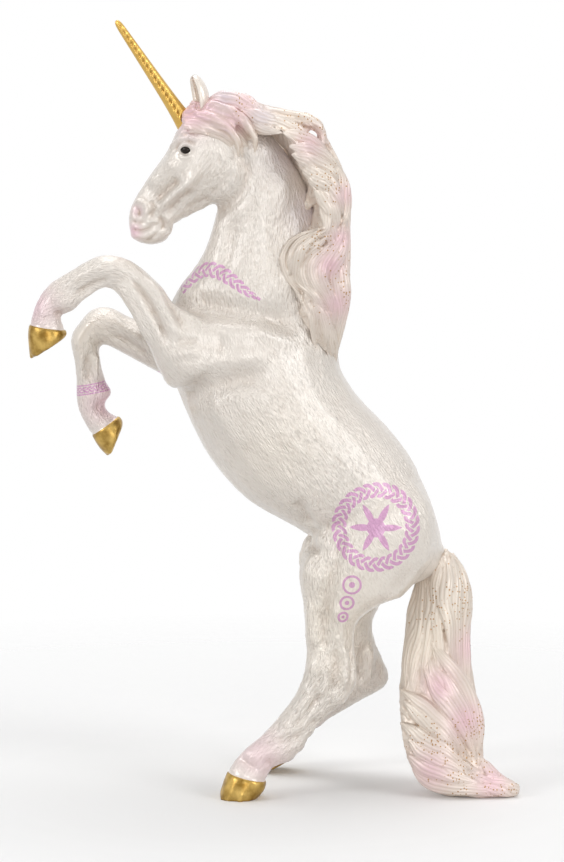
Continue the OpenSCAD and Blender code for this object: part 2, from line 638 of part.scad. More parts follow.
module tail() {
    color(blush) {
        hair_skin([
            dock_seam, each rungs([dock_at[0], 0], tail_run, dock_at[1], tail_w, left * tail_swing, tail_shares)
        ]);
        pin(dock_seam, -1);
    }
}

module foreleg(side, reach, rise, table) {
    seam = shoulder_seam(side);
    color(white) {
        body_skin([seam, each rungs(middle(seam), reach, rise, foreleg_w, side * shoulder_y, table)], sides = leg_sides);
        pin(seam, 1);
    }
}

module fore_hoof(side, reach, rise, leg_table, table) {
    seam = shoulder_seam(side);
    coronet = leg_table[len(leg_table) - 1];
    color(gold) body_skin(
        rungs(middle(seam), reach, rise, foreleg_w, side * shoulder_y, [coronet, each table]), sides = leg_sides
    );
}

function hind_hoof_rungs(side, table) = rungs(
    [hip_x, 0], hind_reach, hip_h, hoof_w, side * stance_w / 2, table
);

module hind_leg(side, table, hoof_table) {
    seam = hip_seam(side);
    color(white) {
        body_skin([
            seam, each rungs([hip_x, 0], hind_reach, hip_h, hind_leg_w, side * hip_y, table),
            hind_hoof_rungs(side, hoof_table)[0]
        ], sides = leg_sides);
        pin(seam, 1);
    }
}

module hind_hoof(side, table) {
    color(gold) body_skin(hind_hoof_rungs(side, table), sides = leg_sides);
}

torso();
neck_and_head();
ear(left);  // left_ear
ear(right);  // right_ear
eye(left);  // left_eye
eye(right);  // right_eye
horn();
forelock();
mane();
tail();
foreleg(left, left_fore_reach, left_fore_rise, left_foreleg_shares);  // left_foreleg
foreleg(right, right_fore_reach, right_fore_drop, right_foreleg_shares);  // right_foreleg
hind_leg(left, left_hind_leg_shares, left_hind_hoof_shares);  // left_hind_leg
hind_leg(right, right_hind_leg_shares, right_hind_hoof_shares);  // right_hind_leg
fore_hoof(left, left_fore_reach, left_fore_rise, left_foreleg_shares, left_fore_hoof_shares);  // left_fore_hoof
fore_hoof(right, right_fore_reach, right_fore_drop, right_foreleg_shares, right_fore_hoof_shares);  // right_fore_hoof
hind_hoof(left, left_hind_hoof_shares);  // left_hind_hoof
hind_hoof(right, right_hind_hoof_shares);  // right_hind_hoof
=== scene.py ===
import math

import bmesh
import bpy
import numpy as np
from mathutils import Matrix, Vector
from mathutils.bvhtree import BVHTree


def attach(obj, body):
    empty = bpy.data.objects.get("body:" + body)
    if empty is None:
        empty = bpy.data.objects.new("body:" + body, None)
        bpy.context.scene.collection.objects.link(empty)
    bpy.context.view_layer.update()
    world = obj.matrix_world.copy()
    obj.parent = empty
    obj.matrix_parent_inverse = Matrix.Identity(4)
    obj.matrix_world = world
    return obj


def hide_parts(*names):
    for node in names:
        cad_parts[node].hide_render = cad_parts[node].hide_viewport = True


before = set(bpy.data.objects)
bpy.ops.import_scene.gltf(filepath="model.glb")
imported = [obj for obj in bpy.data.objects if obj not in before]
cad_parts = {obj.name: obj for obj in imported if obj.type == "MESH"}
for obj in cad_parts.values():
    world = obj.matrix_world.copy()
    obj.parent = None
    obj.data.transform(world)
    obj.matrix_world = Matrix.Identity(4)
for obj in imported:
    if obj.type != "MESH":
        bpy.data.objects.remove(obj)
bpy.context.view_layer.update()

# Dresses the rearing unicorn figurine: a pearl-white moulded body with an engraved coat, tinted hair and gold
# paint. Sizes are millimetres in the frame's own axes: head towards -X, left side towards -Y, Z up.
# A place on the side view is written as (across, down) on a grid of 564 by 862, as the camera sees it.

MM = 0.001
# Where a place on the side view is carried to: the near side, its mirror image, or the face behind it
LEFT, RIGHT, FAR_FACE = -1, 1, 0
FLESH = [
    "torso", "neck_and_head", "left_foreleg", "right_foreleg", "left_hind_leg", "right_hind_leg",
    "left_fore_hoof", "right_fore_hoof", "left_hind_hoof", "right_hind_hoof",
]
EYES = ["left_eye", "right_eye"]
HOOVES = {
    "left_fore_hoof": "left_foreleg",
    "right_fore_hoof": "right_foreleg",
    "left_hind_hoof": "left_hind_leg",
    "right_hind_hoof": "right_hind_leg",
}
# How far from its seam with the leg a hoof is cut, is shaped, and reaches at most
HOOF_CUT_REACH, HOOF_SHAPE_REACH, HOOF_REACH = 9, 14, 16
# How far a hoof stands out past the skin above it, and how deep the groove between them is
HOOF_STEP, HOOF_GROOVE = 0.16, 0.14
# The face is what lies above this height and further ahead than this place along X
FACE_ABOVE, FACE_AHEAD = 126.0, -6.0
# The width of the squares that a fresh skin is made of
CLAY_GRAIN = 0.8
HAIR_GRAIN = 0.21
CORE_GRAIN = 0.6
# How deep the coat's strokes are carved
COAT_DEPTH = 0.26

# Where the camera stands, how far it looks down, the grid it sees, and how many grid units away that is
CAMERA_PLACE = np.array([1.3, -970.0, 206.0])
CAMERA_DIP = math.radians(7.159)
VIEW_WIDTH, VIEW_HEIGHT = 564, 862
VIEW_REACH = 4177.0
# Lengths that are past every piece: along a sight line, and from the middle towards +X
PAST_FIGURINE, BEHIND_FIGURINE = 1100.0, 80.0


# Mesh helpers

def numbers_of(items, field, width, kind=np.float32):
    """One field of every item of a mesh, as a table with a row for each."""
    flat = np.empty(len(items) * width, kind)
    items.foreach_get(field, flat)
    return flat.reshape(-1, width)


def points_of(mesh):
    return numbers_of(mesh.vertices, "co", 3).astype(float) / MM


def put_points(mesh, points):
    mesh.vertices.foreach_set("co", (points * MM).astype(np.float32).ravel())
    mesh.update()


def normals_of(mesh):
    return numbers_of(mesh.vertex_normals, "vector", 3).astype(float)


def edges_of(mesh):
    return numbers_of(mesh.edges, "vertices", 2, np.int32)


def face_middles(mesh):
    """The middle of every face, in metres."""
    return numbers_of(mesh.polygons, "center", 3)


def opened(*meshes):
    """Meshes put together and opened for editing."""
    bm = bmesh.new()
    for mesh in meshes:
        bm.from_mesh(mesh)
    return bm


def closed(bm, into):
    """Ends the editing: the faces go into a mesh, or into a new one with a name."""
    mesh = bpy.data.meshes.new(into) if isinstance(into, str) else into
    bm.to_mesh(mesh)
    bm.free()
    return mesh


def new_object(name, mesh):
    made = bpy.data.objects.new(name, mesh)
    bpy.context.scene.collection.objects.link(made)
    return made


def applied(obj):
    """The mesh of an object with its modifiers applied. The object itself goes."""
    graph = bpy.context.evaluated_depsgraph_get()
    mesh = bpy.data.meshes.new_from_object(obj.evaluated_get(graph), depsgraph=graph)
    old = obj.data
    bpy.data.objects.remove(obj)
    bpy.data.meshes.remove(old)
    return mesh


def joined_copy(names):
    """One mesh of copies of CAD nodes, with their loose triangles merged."""
    bm = opened(*[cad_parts[name].data for name in names])
    bmesh.ops.remove_doubles(bm, verts=bm.verts, dist=0.001 * MM)
    return closed(bm, "clay")


def one_skin(mesh, grain):
    """One closed skin of even squares round everything in a mesh."""
    obj = new_object("clay", mesh)
    remesh = obj.modifiers.new("one_skin", "REMESH")
    remesh.mode = "VOXEL"
    remesh.voxel_size = grain * MM
    remesh.adaptivity = 0.0
    return applied(obj)


def subdivided(mesh):
    obj = new_object("clay", mesh)
    finer = obj.modifiers.new("finer", "SUBSURF")
    finer.levels = finer.render_levels = 1
    return applied(obj)


def store(mesh, name, kind, values):
    """Keeps one value for each point: FLOAT, FLOAT_VECTOR or FLOAT_COLOR."""
    layer = mesh.attributes.get(name) or mesh.attributes.new(name, kind, "POINT")
    values = np.asarray(values, np.float32)
    if kind == "FLOAT_COLOR":
        values = np.hstack([values, np.ones((len(values), 1), np.float32)])
    field = {"FLOAT": "value", "FLOAT_VECTOR": "vector", "FLOAT_COLOR": "color"}[kind]
    layer.data.foreach_set(field, values.ravel())


def shade_smooth(mesh):
    mesh.polygons.foreach_set("use_smooth", np.ones(len(mesh.polygons), bool))
    mesh.update()


def soft_step(low, high, value):
    t = np.clip((value - low) / (high - low), 0.0, 1.0)
    return t * t * (3.0 - 2.0 * t)


def smooth_path(points, steps):
    """A smooth curve through given points, with a number of steps from each point to the next."""
    p = np.array(points, float)
    padded = np.vstack([2 * p[0] - p[1], p, 2 * p[-1] - p[-2]])
    out = []
    for k in range(1, len(padded) - 2):
        a, b, c, d = padded[k - 1:k + 3]
        for t in np.arange(steps) / steps:
            bend = (2 * a - 5 * b + 4 * c - d) * t ** 2 + (3 * b - a - 3 * c + d) * t ** 3
            out.append(b + 0.5 * ((c - a) * t + bend))
    out.append(p[-1])
    return np.array(out)


# How much a round of smoothing moves a point towards its neighbours' mean, and how much it then swells back
SMOOTHING, SWELLING = 0.5, -0.53


def neighbour_count(points, edges):
    return np.maximum(np.bincount(edges.ravel(), minlength=len(points)), 1).astype(float)


def neighbour_mean(values, edges, count):
    columns = []
    for axis in range(values.shape[1]):
        first = np.bincount(edges[:, 0], values[edges[:, 1], axis], len(values))
        second = np.bincount(edges[:, 1], values[edges[:, 0], axis], len(values))
        columns.append((first + second) / count)
    return np.stack(columns, 1)


def relaxed(points, edges, rounds):
    """Evens a surface out without shrinking it: each round smooths by a half and then swells back."""
    count = neighbour_count(points, edges)
    for k in range(rounds * 2):
        mean = neighbour_mean(points, edges, count)
        points = points + (mean - points) * (SMOOTHING if k % 2 == 0 else SWELLING)
    return points


# Lines of sight from the camera, which carry a place on the side view onto a surface

def sight_line(across, down):
    right = (across - VIEW_WIDTH / 2) / VIEW_REACH
    up = (VIEW_HEIGHT / 2 - down) / VIEW_REACH
    c, s = math.cos(CAMERA_DIP), math.sin(CAMERA_DIP)
    return np.array([right, c + up * s, up * c - s])


def tree_of(mesh):
    bm = opened(mesh)
    tree = BVHTree.FromBMesh(bm)
    bm.free()
    return tree


def laid_on(tree, places, side=LEFT, with_normals=False):
    """Places on the side view, carried onto a surface. Past its outline each stays as deep as the last one.

    The right side is seen as in a mirror. The far face is what the same lines of sight meet from behind."""
    flip = np.array([1.0, -1.0 if side == RIGHT else 1.0, 1.0])
    spots, facings = [], []
    depth, facing = 0.0, (0.0, -1.0 if side == LEFT else 1.0, 0.0)
    for across, down in places:
        way = sight_line(across, down)
        start, ahead = CAMERA_PLACE * flip, way * flip
        if side == FAR_FACE:
            start, ahead = start + ahead * PAST_FIGURINE, -ahead
        hit, normal, _, _ = tree.ray_cast(Vector(start * MM), Vector(ahead))
        if hit is not None:
            spot = np.array(hit) / MM
            depth, facing = spot[1], tuple(normal)
        else:
            reach = (depth * flip[1] - CAMERA_PLACE[1]) / way[1]
            spot = (CAMERA_PLACE + way * reach) * flip
        spots.append(spot)
        facings.append(facing)
    return (np.array(spots), np.array(facings)) if with_normals else np.array(spots)


def laid_from_behind(tree, places):
    """Places (y, z) on the view from behind, carried onto a surface, and how it faces there."""
    spots, facings = [], []
    for y, z in places:
        start = Vector((BEHIND_FIGURINE * MM, y * MM, z * MM))
        hit, normal, _, _ = tree.ray_cast(start, Vector((-1.0, 0.0, 0.0)))
        if hit is not None:
            spots.append(np.array(hit) / MM)
            facings.append(tuple(normal))
    return np.array(spots), np.array(facings)


def mirrored(points):
    return np.array(points) * np.array([1.0, -1.0, 1.0])


# Sculpting tools, which move the points of a skin along its normals

class Skin:
    def __init__(self, mesh):
        self.mesh = mesh
        self.p = points_of(mesh)
        self.edges = edges_of(mesh)
        self.settle(0)

    def settle(self, rounds):
        if rounds:
            self.p = relaxed(self.p, self.edges, rounds)
        self.p[:, 2] = np.maximum(self.p[:, 2], 0.0)
        put_points(self.mesh, self.p)
        self.n = normals_of(self.mesh)

    def refresh(self):
        put_points(self.mesh, self.p)
        self.n = normals_of(self.mesh)
        self.tree = tree_of(self.mesh)

    def swell(self, at, size, height, tilt=0.0):
        """A soft mound, or below zero a hollow, of a size along x, y and z, tilted in side view."""
        d = self.p - np.array(at)
        c, s = math.cos(math.radians(tilt)), math.sin(math.radians(tilt))
        x, z = d[:, 0] * c + d[:, 2] * s, d[:, 2] * c - d[:, 0] * s
        far = (x / size[0]) ** 2 + (d[:, 1] / size[1]) ** 2 + (z / size[2]) ** 2
        self.p += self.n * (height * np.exp(-1.6 * far))[:, None]

    def stroke(self, path, width, height, lip=0.0, fade=0.25):
        """A ridge, or below zero a groove, along points in space. A lip raises one edge of it."""
        line = smooth_path(path, 4)
        low, high = line.min(0) - 3 * width, line.max(0) + 3 * width
        near = np.nonzero(((self.p > low) & (self.p < high)).all(1))[0]
        q = self.p[near]
        best, place, signed = np.full(len(q), 1e9), np.zeros(len(q)), np.zeros(len(q))
        run = np.concatenate([[0], np.cumsum(np.linalg.norm(np.diff(line, axis=0), axis=1))])
        for k in range(len(line) - 1):
            a, b = line[k], line[k + 1]
            t = np.clip(((q - a) @ (b - a)) / max((b - a) @ (b - a), 1e-9), 0, 1)
            off = q - (a + t[:, None] * (b - a))
            dist = np.linalg.norm(off, axis=1)
            better = dist < best
            best[better] = dist[better]
            place[better] = (run[k] + t * (run[k + 1] - run[k]))[better] / run[-1]
            across = np.cross(b - a, self.n[near][better])
            signed[better] = np.sign(np.einsum("ij,ij->i", off[better], across)) * dist[better]
        ends = np.minimum(soft_step(0, fade, place), soft_step(0, fade, 1 - place)) if fade else 1.0
        u, v = best / width, signed / width
        amount = height * np.exp(-u * u) + lip * v * np.exp(0.5 - 0.5 * v * v)
        self.p[near] += self.n[near] * (amount * ends)[:, None]


# The flesh: one skin round the body, head, legs and hooves

def seam_between(a, b):
    """Middle and direction of the joint face that two CAD pieces share, pointing from a to b."""
    pa, pb = points_of(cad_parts[a].data), points_of(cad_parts[b].data)
    keys = {tuple(k) for k in np.round(pb, 2)}
    ring = np.unique(np.array([q for q in np.round(pa, 2) if tuple(q) in keys]), axis=0)
    centre = ring.mean(0)
    normal = np.linalg.svd(ring - centre)[2][2]
    if (pb.mean(0) - centre) @ normal < 0:
        normal = -normal
    return centre, normal


def finer_head(mesh):
    """The face carries the finest marks, so its squares are halved once more."""
    bm = opened(mesh)
    middles = [(f, f.calc_center_median()) for f in bm.faces]
    face = [f for f, at in middles if at.z > FACE_ABOVE * MM and at.x < FACE_AHEAD * MM]
    edges = list({e for f in face for e in f.edges})
    bmesh.ops.subdivide_edges(bm, edges=edges, cuts=1, use_grid_fill=True, smooth=0.0)
    return closed(bm, mesh)


def flesh_skin():
    skin = Skin(one_skin(joined_copy(FLESH + EYES), CLAY_GRAIN))
    skin.settle(6)
    skin = Skin(finer_head(subdivided(skin.mesh)))
    skin.refresh()
    shape_body(skin)
    shape_forelegs(skin)
    shape_hind_legs(skin)
    shape_hooves(skin)
    shape_head(skin)
    skin.settle(1)
    skin.refresh()
    store(skin.mesh, "coat", "FLOAT_VECTOR", coat_lie(skin))
    skin = Skin(grown("clay", skin.mesh, engraving_tree(), Depth=COAT_DEPTH * MM, Finish=PEARL))
    skin.refresh()
    return skin


def marker(skin, sides="both"):
    """A sculpting tool for one part: it takes a width, a height and places on the side view."""

    def mark(width, height, *places, lip=0.0, fade=0.25):
        path = laid_on(skin.tree, places)
        skin.stroke(path, width, height, lip, fade)
        if sides == "both":
            skin.stroke(mirrored(path), width, height, -lip, fade)

    return mark


def lump(skin, place, size, height, tilt=0.0, sides="both"):
    spot = laid_on(skin.tree, [place])[0]
    skin.swell(spot, size, height, tilt)
    if sides == "both":
        skin.swell(mirrored(spot), size, height, tilt)


def shape_body(skin):
    mark = marker(skin)
    # Under the neck a fold lies across the shoulder, and the upper arm stands out below it
    fold = [(170, 299), (185, 309), (202, 316), (228, 320), (258, 323), (288, 330), (308, 338)]
    mark(2.3, -0.35, *fold, lip=1.15)
    lump(skin, (212, 303), (8.0, 5.0, 2.8), -1.1, -8)
    lump(skin, (235, 340), (9.0, 6.0, 3.4), 0.5, -8)
    mark(2.0, 0.4, (205, 262), (190, 280), (176, 296))
    # Elbow, the fold in front of it and the hollow behind it
    mark(2.4, -0.3, (172, 389), (190, 385), (205, 378), (224, 372), (250, 368), (280, 366), lip=-1.0)
    lump(skin, (184, 362), (4.2, 4.5, 4.0), 0.8)
    mark(1.3, 0.45, (201, 352), (187, 351), (175, 354), (167, 363))
    mark(1.2, -0.4, (198, 342), (185, 343), (173, 346))
    lump(skin, (232, 386), (9.0, 6.0, 3.0), -0.7, 12)
    mark(3.0, 0.6, (206, 402), (228, 425), (246, 452))
    # Shoulder blade and ribs
    mark(3.4, 0.5, (246, 345), (266, 300), (285, 262))
    mark(3.4, -0.5, (268, 352), (290, 310), (308, 275))
    mark(5.0, -0.5, (262, 400), (300, 398), (350, 396))
    mark(4.0, -0.4, (262, 455), (300, 472), (335, 480))
    # Throat and neck
    mark(2.2, -0.7, (235, 205), (231, 235), (225, 262), (214, 285), fade=0.35)
    mark(2.4, 0.5, (222, 210), (214, 240), (203, 266))
    mark(3.2, 0.5, (258, 160), (264, 195), (260, 235), (250, 270), fade=0.4)
    mark(2.6, -0.4, (280, 165), (290, 200), (284, 240), (276, 268), fade=0.4)
    # Flank, stifle and haunch
    mark(1.4, -1.1, (306, 541), (315, 548), (320, 560), (322, 576), fade=0.35)
    mark(1.6, 0.8, (305, 498), (316, 515), (322, 535), (325, 552))
    mark(2.0, -0.9, (292, 500), (304, 512), (311, 526))
    lump(skin, (309, 572), (3.6, 5.0, 5.5), 1.0)
    lump(skin, (284, 185), (4.5, 4.0, 9.0), 0.9, -20)
    lump(skin, (262, 150), (5.0, 4.0, 4.0), 0.9)
    mark(1.9, -1.3, (348, 524), (338, 550), (330, 576), (325, 602), (324, 630))
    mark(1.6, 0.5, (358, 540), (347, 566), (340, 594), (337, 622))
    lump(skin, (390, 520), (9.0, 6.0, 9.0), 0.7)
    mark(3.0, -0.6, (428, 560), (405, 580), (385, 598), fade=0.4)
    skin.refresh()


def shape_forelegs(skin):
    near = marker(skin, "left")
    # The raised foreleg: the long groove between the forearm muscles, and the ridges beside it
    near(1.0, -1.4, (122, 272), (139, 288), (151, 308), (160, 328), (170, 350))
    near(1.3, 0.9, (116, 286), (130, 303), (142, 325), (154, 350))
    near(1.2, 1.0, (144, 273), (158, 295), (170, 320), (179, 344))
    near(0.8, -0.7, (158, 284), (172, 306), (184, 330))
    # Its knee, shin, fetlock and pastern
    lump(skin, (108, 266), (3.4, 3.0, 2.4), 0.7, sides="left")
    lump(skin, (121, 280), (1.8, 2.0, 1.8), -0.6, sides="left")
    near(0.9, -0.9, (112, 277), (92, 285), (74, 296))
    near(0.8, 0.7, (108, 286), (88, 293), (72, 304))
    near(0.9, 0.5, (100, 266), (80, 277), (63, 289))
    lump(skin, (69, 303), (2.2, 3.2, 2.2), 1.1, sides="left")
    near(0.8, -0.7, (67, 314), (58, 313), (50, 309))
    lump(skin, (44, 312), (2.2, 3.0, 2.2), 0.4, sides="left")
    # The tucked foreleg: forearm, knee, the cords of the shin, fetlock and pastern
    skin.swell((-41.0, 8.5, 110.0), (6.0, 6.0, 3.2), 1.5)
    skin.swell((-47.0, 8.5, 106.0), (3.0, 6.0, 4.0), 0.5)
    near(1.1, -1.0, (108, 333), (128, 343), (150, 358))
    near(1.2, 0.8, (104, 320), (124, 329), (146, 342))
    lump(skin, (90, 326), (2.8, 3.0, 2.8), 0.7, sides="left")
    lump(skin, (98, 343), (1.6, 2.4, 1.6), -0.5, sides="left")
    near(0.9, -0.6, (90, 348), (88, 366), (89, 384))
    near(0.8, 0.8, (97, 350), (96, 366), (98, 384))
    near(0.7, -0.8, (103, 356), (103, 370), (105, 382))
    near(0.8, 0.6, (82, 350), (82, 368), (83, 386))
    lump(skin, (106, 392), (2.0, 3.0, 2.2), 1.0, sides="left")
    near(1.1, -0.5, (108, 405), (98, 407), (90, 404))
    # Their hidden sides get the same main grooves
    near_inner = [
        [(-36.0, -4.6, 120.0), (-31.0, -4.6, 113.0), (-27.0, -4.6, 104.0)],
        [(-44.0, -4.6, 119.0), (-49.0, -4.6, 116.5), (-53.0, -4.6, 113.5)],
    ]
    far_outer = [
        [(-40.0, 12.6, 107.0), (-33.0, 12.8, 103.0), (-27.0, 13.0, 99.0)],
        [(-43.5, 12.0, 103.0), (-43.8, 11.8, 95.0)],
    ]
    for path in near_inner + far_outer:
        skin.stroke(path, 1.2, -0.8)
    skin.refresh()


def shape_hind_legs(skin):
    near = marker(skin, "left")
    # Thigh and hock: the long muscles, and the cords that run from them past the hock
    near(1.5, -0.8, (322, 606), (323, 632), (327, 655))
    near(1.6, 0.9, (311, 598), (311, 625), (315, 650))
    near(1.5, 0.9, (337, 602), (339, 628), (344, 650))
    near(1.3, -0.8, (332, 645), (336, 668), (333, 694))
    near(0.9, 1.1, (341, 640), (345, 664), (343, 692))
    near(0.7, -0.8, (351, 644), (353, 664), (349, 684))
    near(0.9, 0.9, (325, 664), (326, 680), (319, 698))
    lump(skin, (340, 700), (2.0, 3.0, 2.0), 0.8, sides="left")
    lump(skin, (313, 668), (2.2, 3.0, 2.6), 0.5, sides="left")
    # Shin, fetlock and pastern
    near(0.9, -0.8, (322, 690), (308, 712), (288, 732))
    near(1.0, 0.7, (310, 690), (296, 712), (276, 732))
    near(0.9, -0.8, (322, 716), (302, 732), (284, 748))
    near(1.0, 0.7, (314, 706), (296, 724), (278, 740))
    lump(skin, (270, 772), (1.8, 3.0, 1.6), 0.9, sides="left")
    lump(skin, (250, 752), (2.8, 3.6, 2.4), 0.5, sides="left")
    for at, height in (((6.6, -15.0, 16.4), 1.2), ((4.5, -15.0, 13.0), 1.5), ((2.6, -15.0, 9.8), 1.2)):
        skin.swell(at, (2.6, 5.0, 2.6), height)
    near(0.9, -0.8, (281, 771), (268, 763), (256, 762))
    near(0.9, -0.5, (258, 770), (248, 764), (240, 757))
    # The far hock, seen past the near one
    near(1.2, -0.6, (362, 640), (362, 662), (358, 686))
    near(1.0, 1.0, (370, 642), (370, 664), (369, 686))
    near(1.1, -0.4, (378, 652), (379, 668), (380, 684))
    # The far leg's outer side
    for path, height in (
        ([(11.0, 20.0, 42.0), (12.0, 20.0, 34.0), (13.0, 19.5, 28.0)], -0.9),
        ([(16.5, 19.8, 44.0), (18.0, 19.8, 36.0), (19.0, 19.5, 30.0)], 0.8),
        ([(20.0, 19.6, 37.0), (21.5, 19.4, 30.0)], -0.8),
        ([(12.0, 19.2, 24.0), (7.0, 19.0, 17.0)], -0.7),
    ):
        skin.stroke(path, 1.1, height)
    skin.swell((9.5, 15.0, 12.5), (2.2, 4.0, 2.2), 0.8)
    skin.refresh()


def shape_hooves(skin):
    """The horn of each hoof stands a little proud of the skin above it, and a fine groove parts the two."""
    for hoof, leg in HOOVES.items():
        centre, normal = seam_between(leg, hoof)
        d = skin.p - centre
        far = d @ normal
        near = (np.linalg.norm(d, axis=1) < HOOF_SHAPE_REACH) & (far > -1.6)
        groove = HOOF_GROOVE * np.exp(-((far + 0.35) / 0.4) ** 2)
        proud = HOOF_STEP * soft_step(-0.05, 0.25, far) - groove
        skin.p[near] += skin.n[near] * proud[near, None]
    skin.refresh()


def over_front(path):
    """A path on the left carried over the middle to the right."""
    path = np.array(path)
    return np.vstack([mirrored(path)[::-1], path])


def shape_head(skin):
    mark = marker(skin)

    def wrap(width, height, *places):
        skin.stroke(over_front(laid_on(skin.tree, places)), width, height, fade=0.12)

    # Eye socket, lids and brow
    lump(skin, (186, 150), (3.0, 3.0, 2.4), -0.25)
    mark(0.5, 0.5, (177, 152), (180, 147), (186, 144), (191, 146), (195, 150))
    mark(0.45, 0.35, (178, 153), (182, 157), (188, 157), (193, 153))
    mark(0.9, 0.7, (168, 152), (176, 143), (187, 138), (200, 141))
    mark(0.5, -0.55, (174, 152), (180, 143), (189, 141), (197, 146))
    # The crest of the face, the bones of the nose and the hollows between them
    mark(1.2, 1.3, (200, 162), (194, 174), (187, 184), (176, 193), (165, 204), (155, 216))
    mark(1.4, -1.1, (182, 177), (172, 185), (162, 194), (153, 204))
    mark(1.9, 0.9, (178, 157), (168, 166), (158, 177), (149, 190))
    mark(1.5, -0.8, (196, 187), (182, 196), (172, 205), (166, 214))
    # Cheek, jaw and the edge where they meet the neck
    lump(skin, (208, 176), (7.0, 5.0, 7.0), 0.7)
    mark(1.5, -0.4, (210, 207), (226, 200), (237, 189), (242, 175), (238, 161), (228, 150), lip=-0.8)
    mark(1.0, 0.5, (180, 219), (196, 211), (210, 203))
    mark(1.0, -0.4, (184, 210), (200, 201), (214, 196))
    # Nostril
    lump(skin, (141, 207), (2.4, 2.4, 2.6), 0.4)
    lump(skin, (138, 212), (1.0, 1.6, 1.7), -1.0, 20)
    mark(0.55, 0.6, (134, 205), (139, 201), (145, 204), (147, 211), (143, 219))
    mark(0.8, -0.5, (151, 199), (153, 208), (149, 218))
    # Lips and chin
    wrap(0.7, -0.5, (134, 222), (140, 223), (147, 222))
    mark(0.5, 0.5, (147, 224), (153, 221), (160, 222))
    wrap(0.45, -0.5, (134, 230), (141, 231), (148, 229), (155, 226))
    wrap(0.8, 0.4, (135, 236), (142, 237), (149, 235))
    mark(0.6, -0.5, (144, 241), (152, 238), (158, 231))
    mark(0.8, 0.5, (163, 213), (169, 220), (170, 230), (164, 238))
    mark(0.6, -0.4, (157, 216), (163, 223), (163, 232))
    mark(0.9, -0.6, (171, 240), (175, 231), (176, 221))
    lump(skin, (156, 236), (2.4, 3.0, 1.8), 0.5)
    skin.refresh()


# Cutting the finished skin into the figurine's pieces

def cut_into_pieces(skin):
    """Splits the skin: hooves along their painted edges, other pieces where the CAD pieces meet."""
    mesh = skin.mesh
    store(mesh, "soft_normal", "FLOAT_VECTOR", skin.n)
    seams = {hoof: seam_between(leg, hoof) for hoof, leg in HOOVES.items()}
    bm = opened(mesh)
    for centre, normal in seams.values():
        middle = Vector(centre * MM)
        near = [f for f in bm.faces if (f.calc_center_median() - middle).length < HOOF_CUT_REACH * MM]
        geom = near + list({e for f in near for e in f.edges}) + list({v for f in near for v in f.verts})
        bmesh.ops.bisect_plane(bm, geom=geom, dist=1e-8, plane_co=centre * MM, plane_no=normal)
    closed(bm, mesh)

    middles = face_middles(mesh).astype(float)
    owner_tree, owners = owner_lookup(FLESH)
    labels = np.array([owners[owner_tree.find_nearest(Vector(m))[2]] for m in middles])
    for hoof, (centre, normal) in seams.items():
        limb = (labels == hoof) | (labels == HOOVES[hoof])
        d = middles / MM - centre
        beyond = (d @ normal > 0) & (np.linalg.norm(d, axis=1) < HOOF_REACH)
        labels[limb & beyond] = hoof
        labels[limb & ~beyond] = HOOVES[hoof]
    labels = without_scraps(mesh, labels)
    return {name: cut_piece(mesh, labels != name, name) for name in FLESH}


def without_scraps(mesh, labels, fewest=600):
    """Gives each small scrap that a wavy seam cuts off to the piece that lies round it."""
    bm = opened(mesh)
    bm.faces.ensure_lookup_table()
    seen = np.zeros(len(labels), bool)
    for start in bm.faces:
        if seen[start.index]:
            continue
        seen[start.index] = True
        patch, neighbour = [start], None
        for face in patch:
            for other in [f for edge in face.edges for f in edge.link_faces]:
                if labels[other.index] != labels[face.index]:
                    neighbour = labels[other.index]
                elif not seen[other.index]:
                    seen[other.index] = True
                    patch.append(other)
        if len(patch) < fewest and neighbour:
            labels[[face.index for face in patch]] = neighbour
    bm.free()
    return labels


def owner_lookup(names):
    """A search tree over the named CAD pieces, and the piece that each of its faces belongs to."""
    points, faces, owners = [], [], []
    for name in names:
        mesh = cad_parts[name].data
        start = len(points)
        points += [v.co.copy() for v in mesh.vertices]
        faces += [[start + k for k in p.vertices] for p in mesh.polygons]
        owners += [name] * len(mesh.polygons)
    return BVHTree.FromPolygons(points, faces), owners


def cut_piece(mesh, dropped, name, inset=0.7):
    """One piece of a skin, closed again by lids that lie a little inside its surface."""
    bm = opened(mesh)
    bm.faces.ensure_lookup_table()
    bmesh.ops.delete(bm, geom=[bm.faces[k] for k in np.nonzero(dropped)[0]], context="FACES")
    rims = [e for e in bm.edges if len(e.link_faces) == 1]
    inward = bm.verts.layers.float_vector["soft_normal"]
    turned_in = bmesh.ops.extrude_edge_only(bm, edges=rims)["geom"]
    for v in turned_in:
        if isinstance(v, bmesh.types.BMVert):
            v.co -= v[inward] * (inset * MM)
    rims = [e for e in turned_in if isinstance(e, bmesh.types.BMEdge) and len(e.link_faces) == 1]
    lids = bmesh.ops.holes_fill(bm, edges=rims, sides=0)["faces"]
    bmesh.ops.poke(bm, faces=lids)
    bmesh.ops.recalc_face_normals(bm, faces=bm.faces)
    if bm.calc_volume(signed=True) < 0:
        bmesh.ops.reverse_faces(bm, faces=bm.faces)
    piece = closed(bm, name)
    shade_smooth(piece)
    soft = piece.attributes["soft_normal"]
    piece.normals_split_custom_set_from_vertices(numbers_of(soft.data, "vector", 3))
    piece.attributes.remove(piece.attributes["soft_normal"])
    return piece


# Node helpers

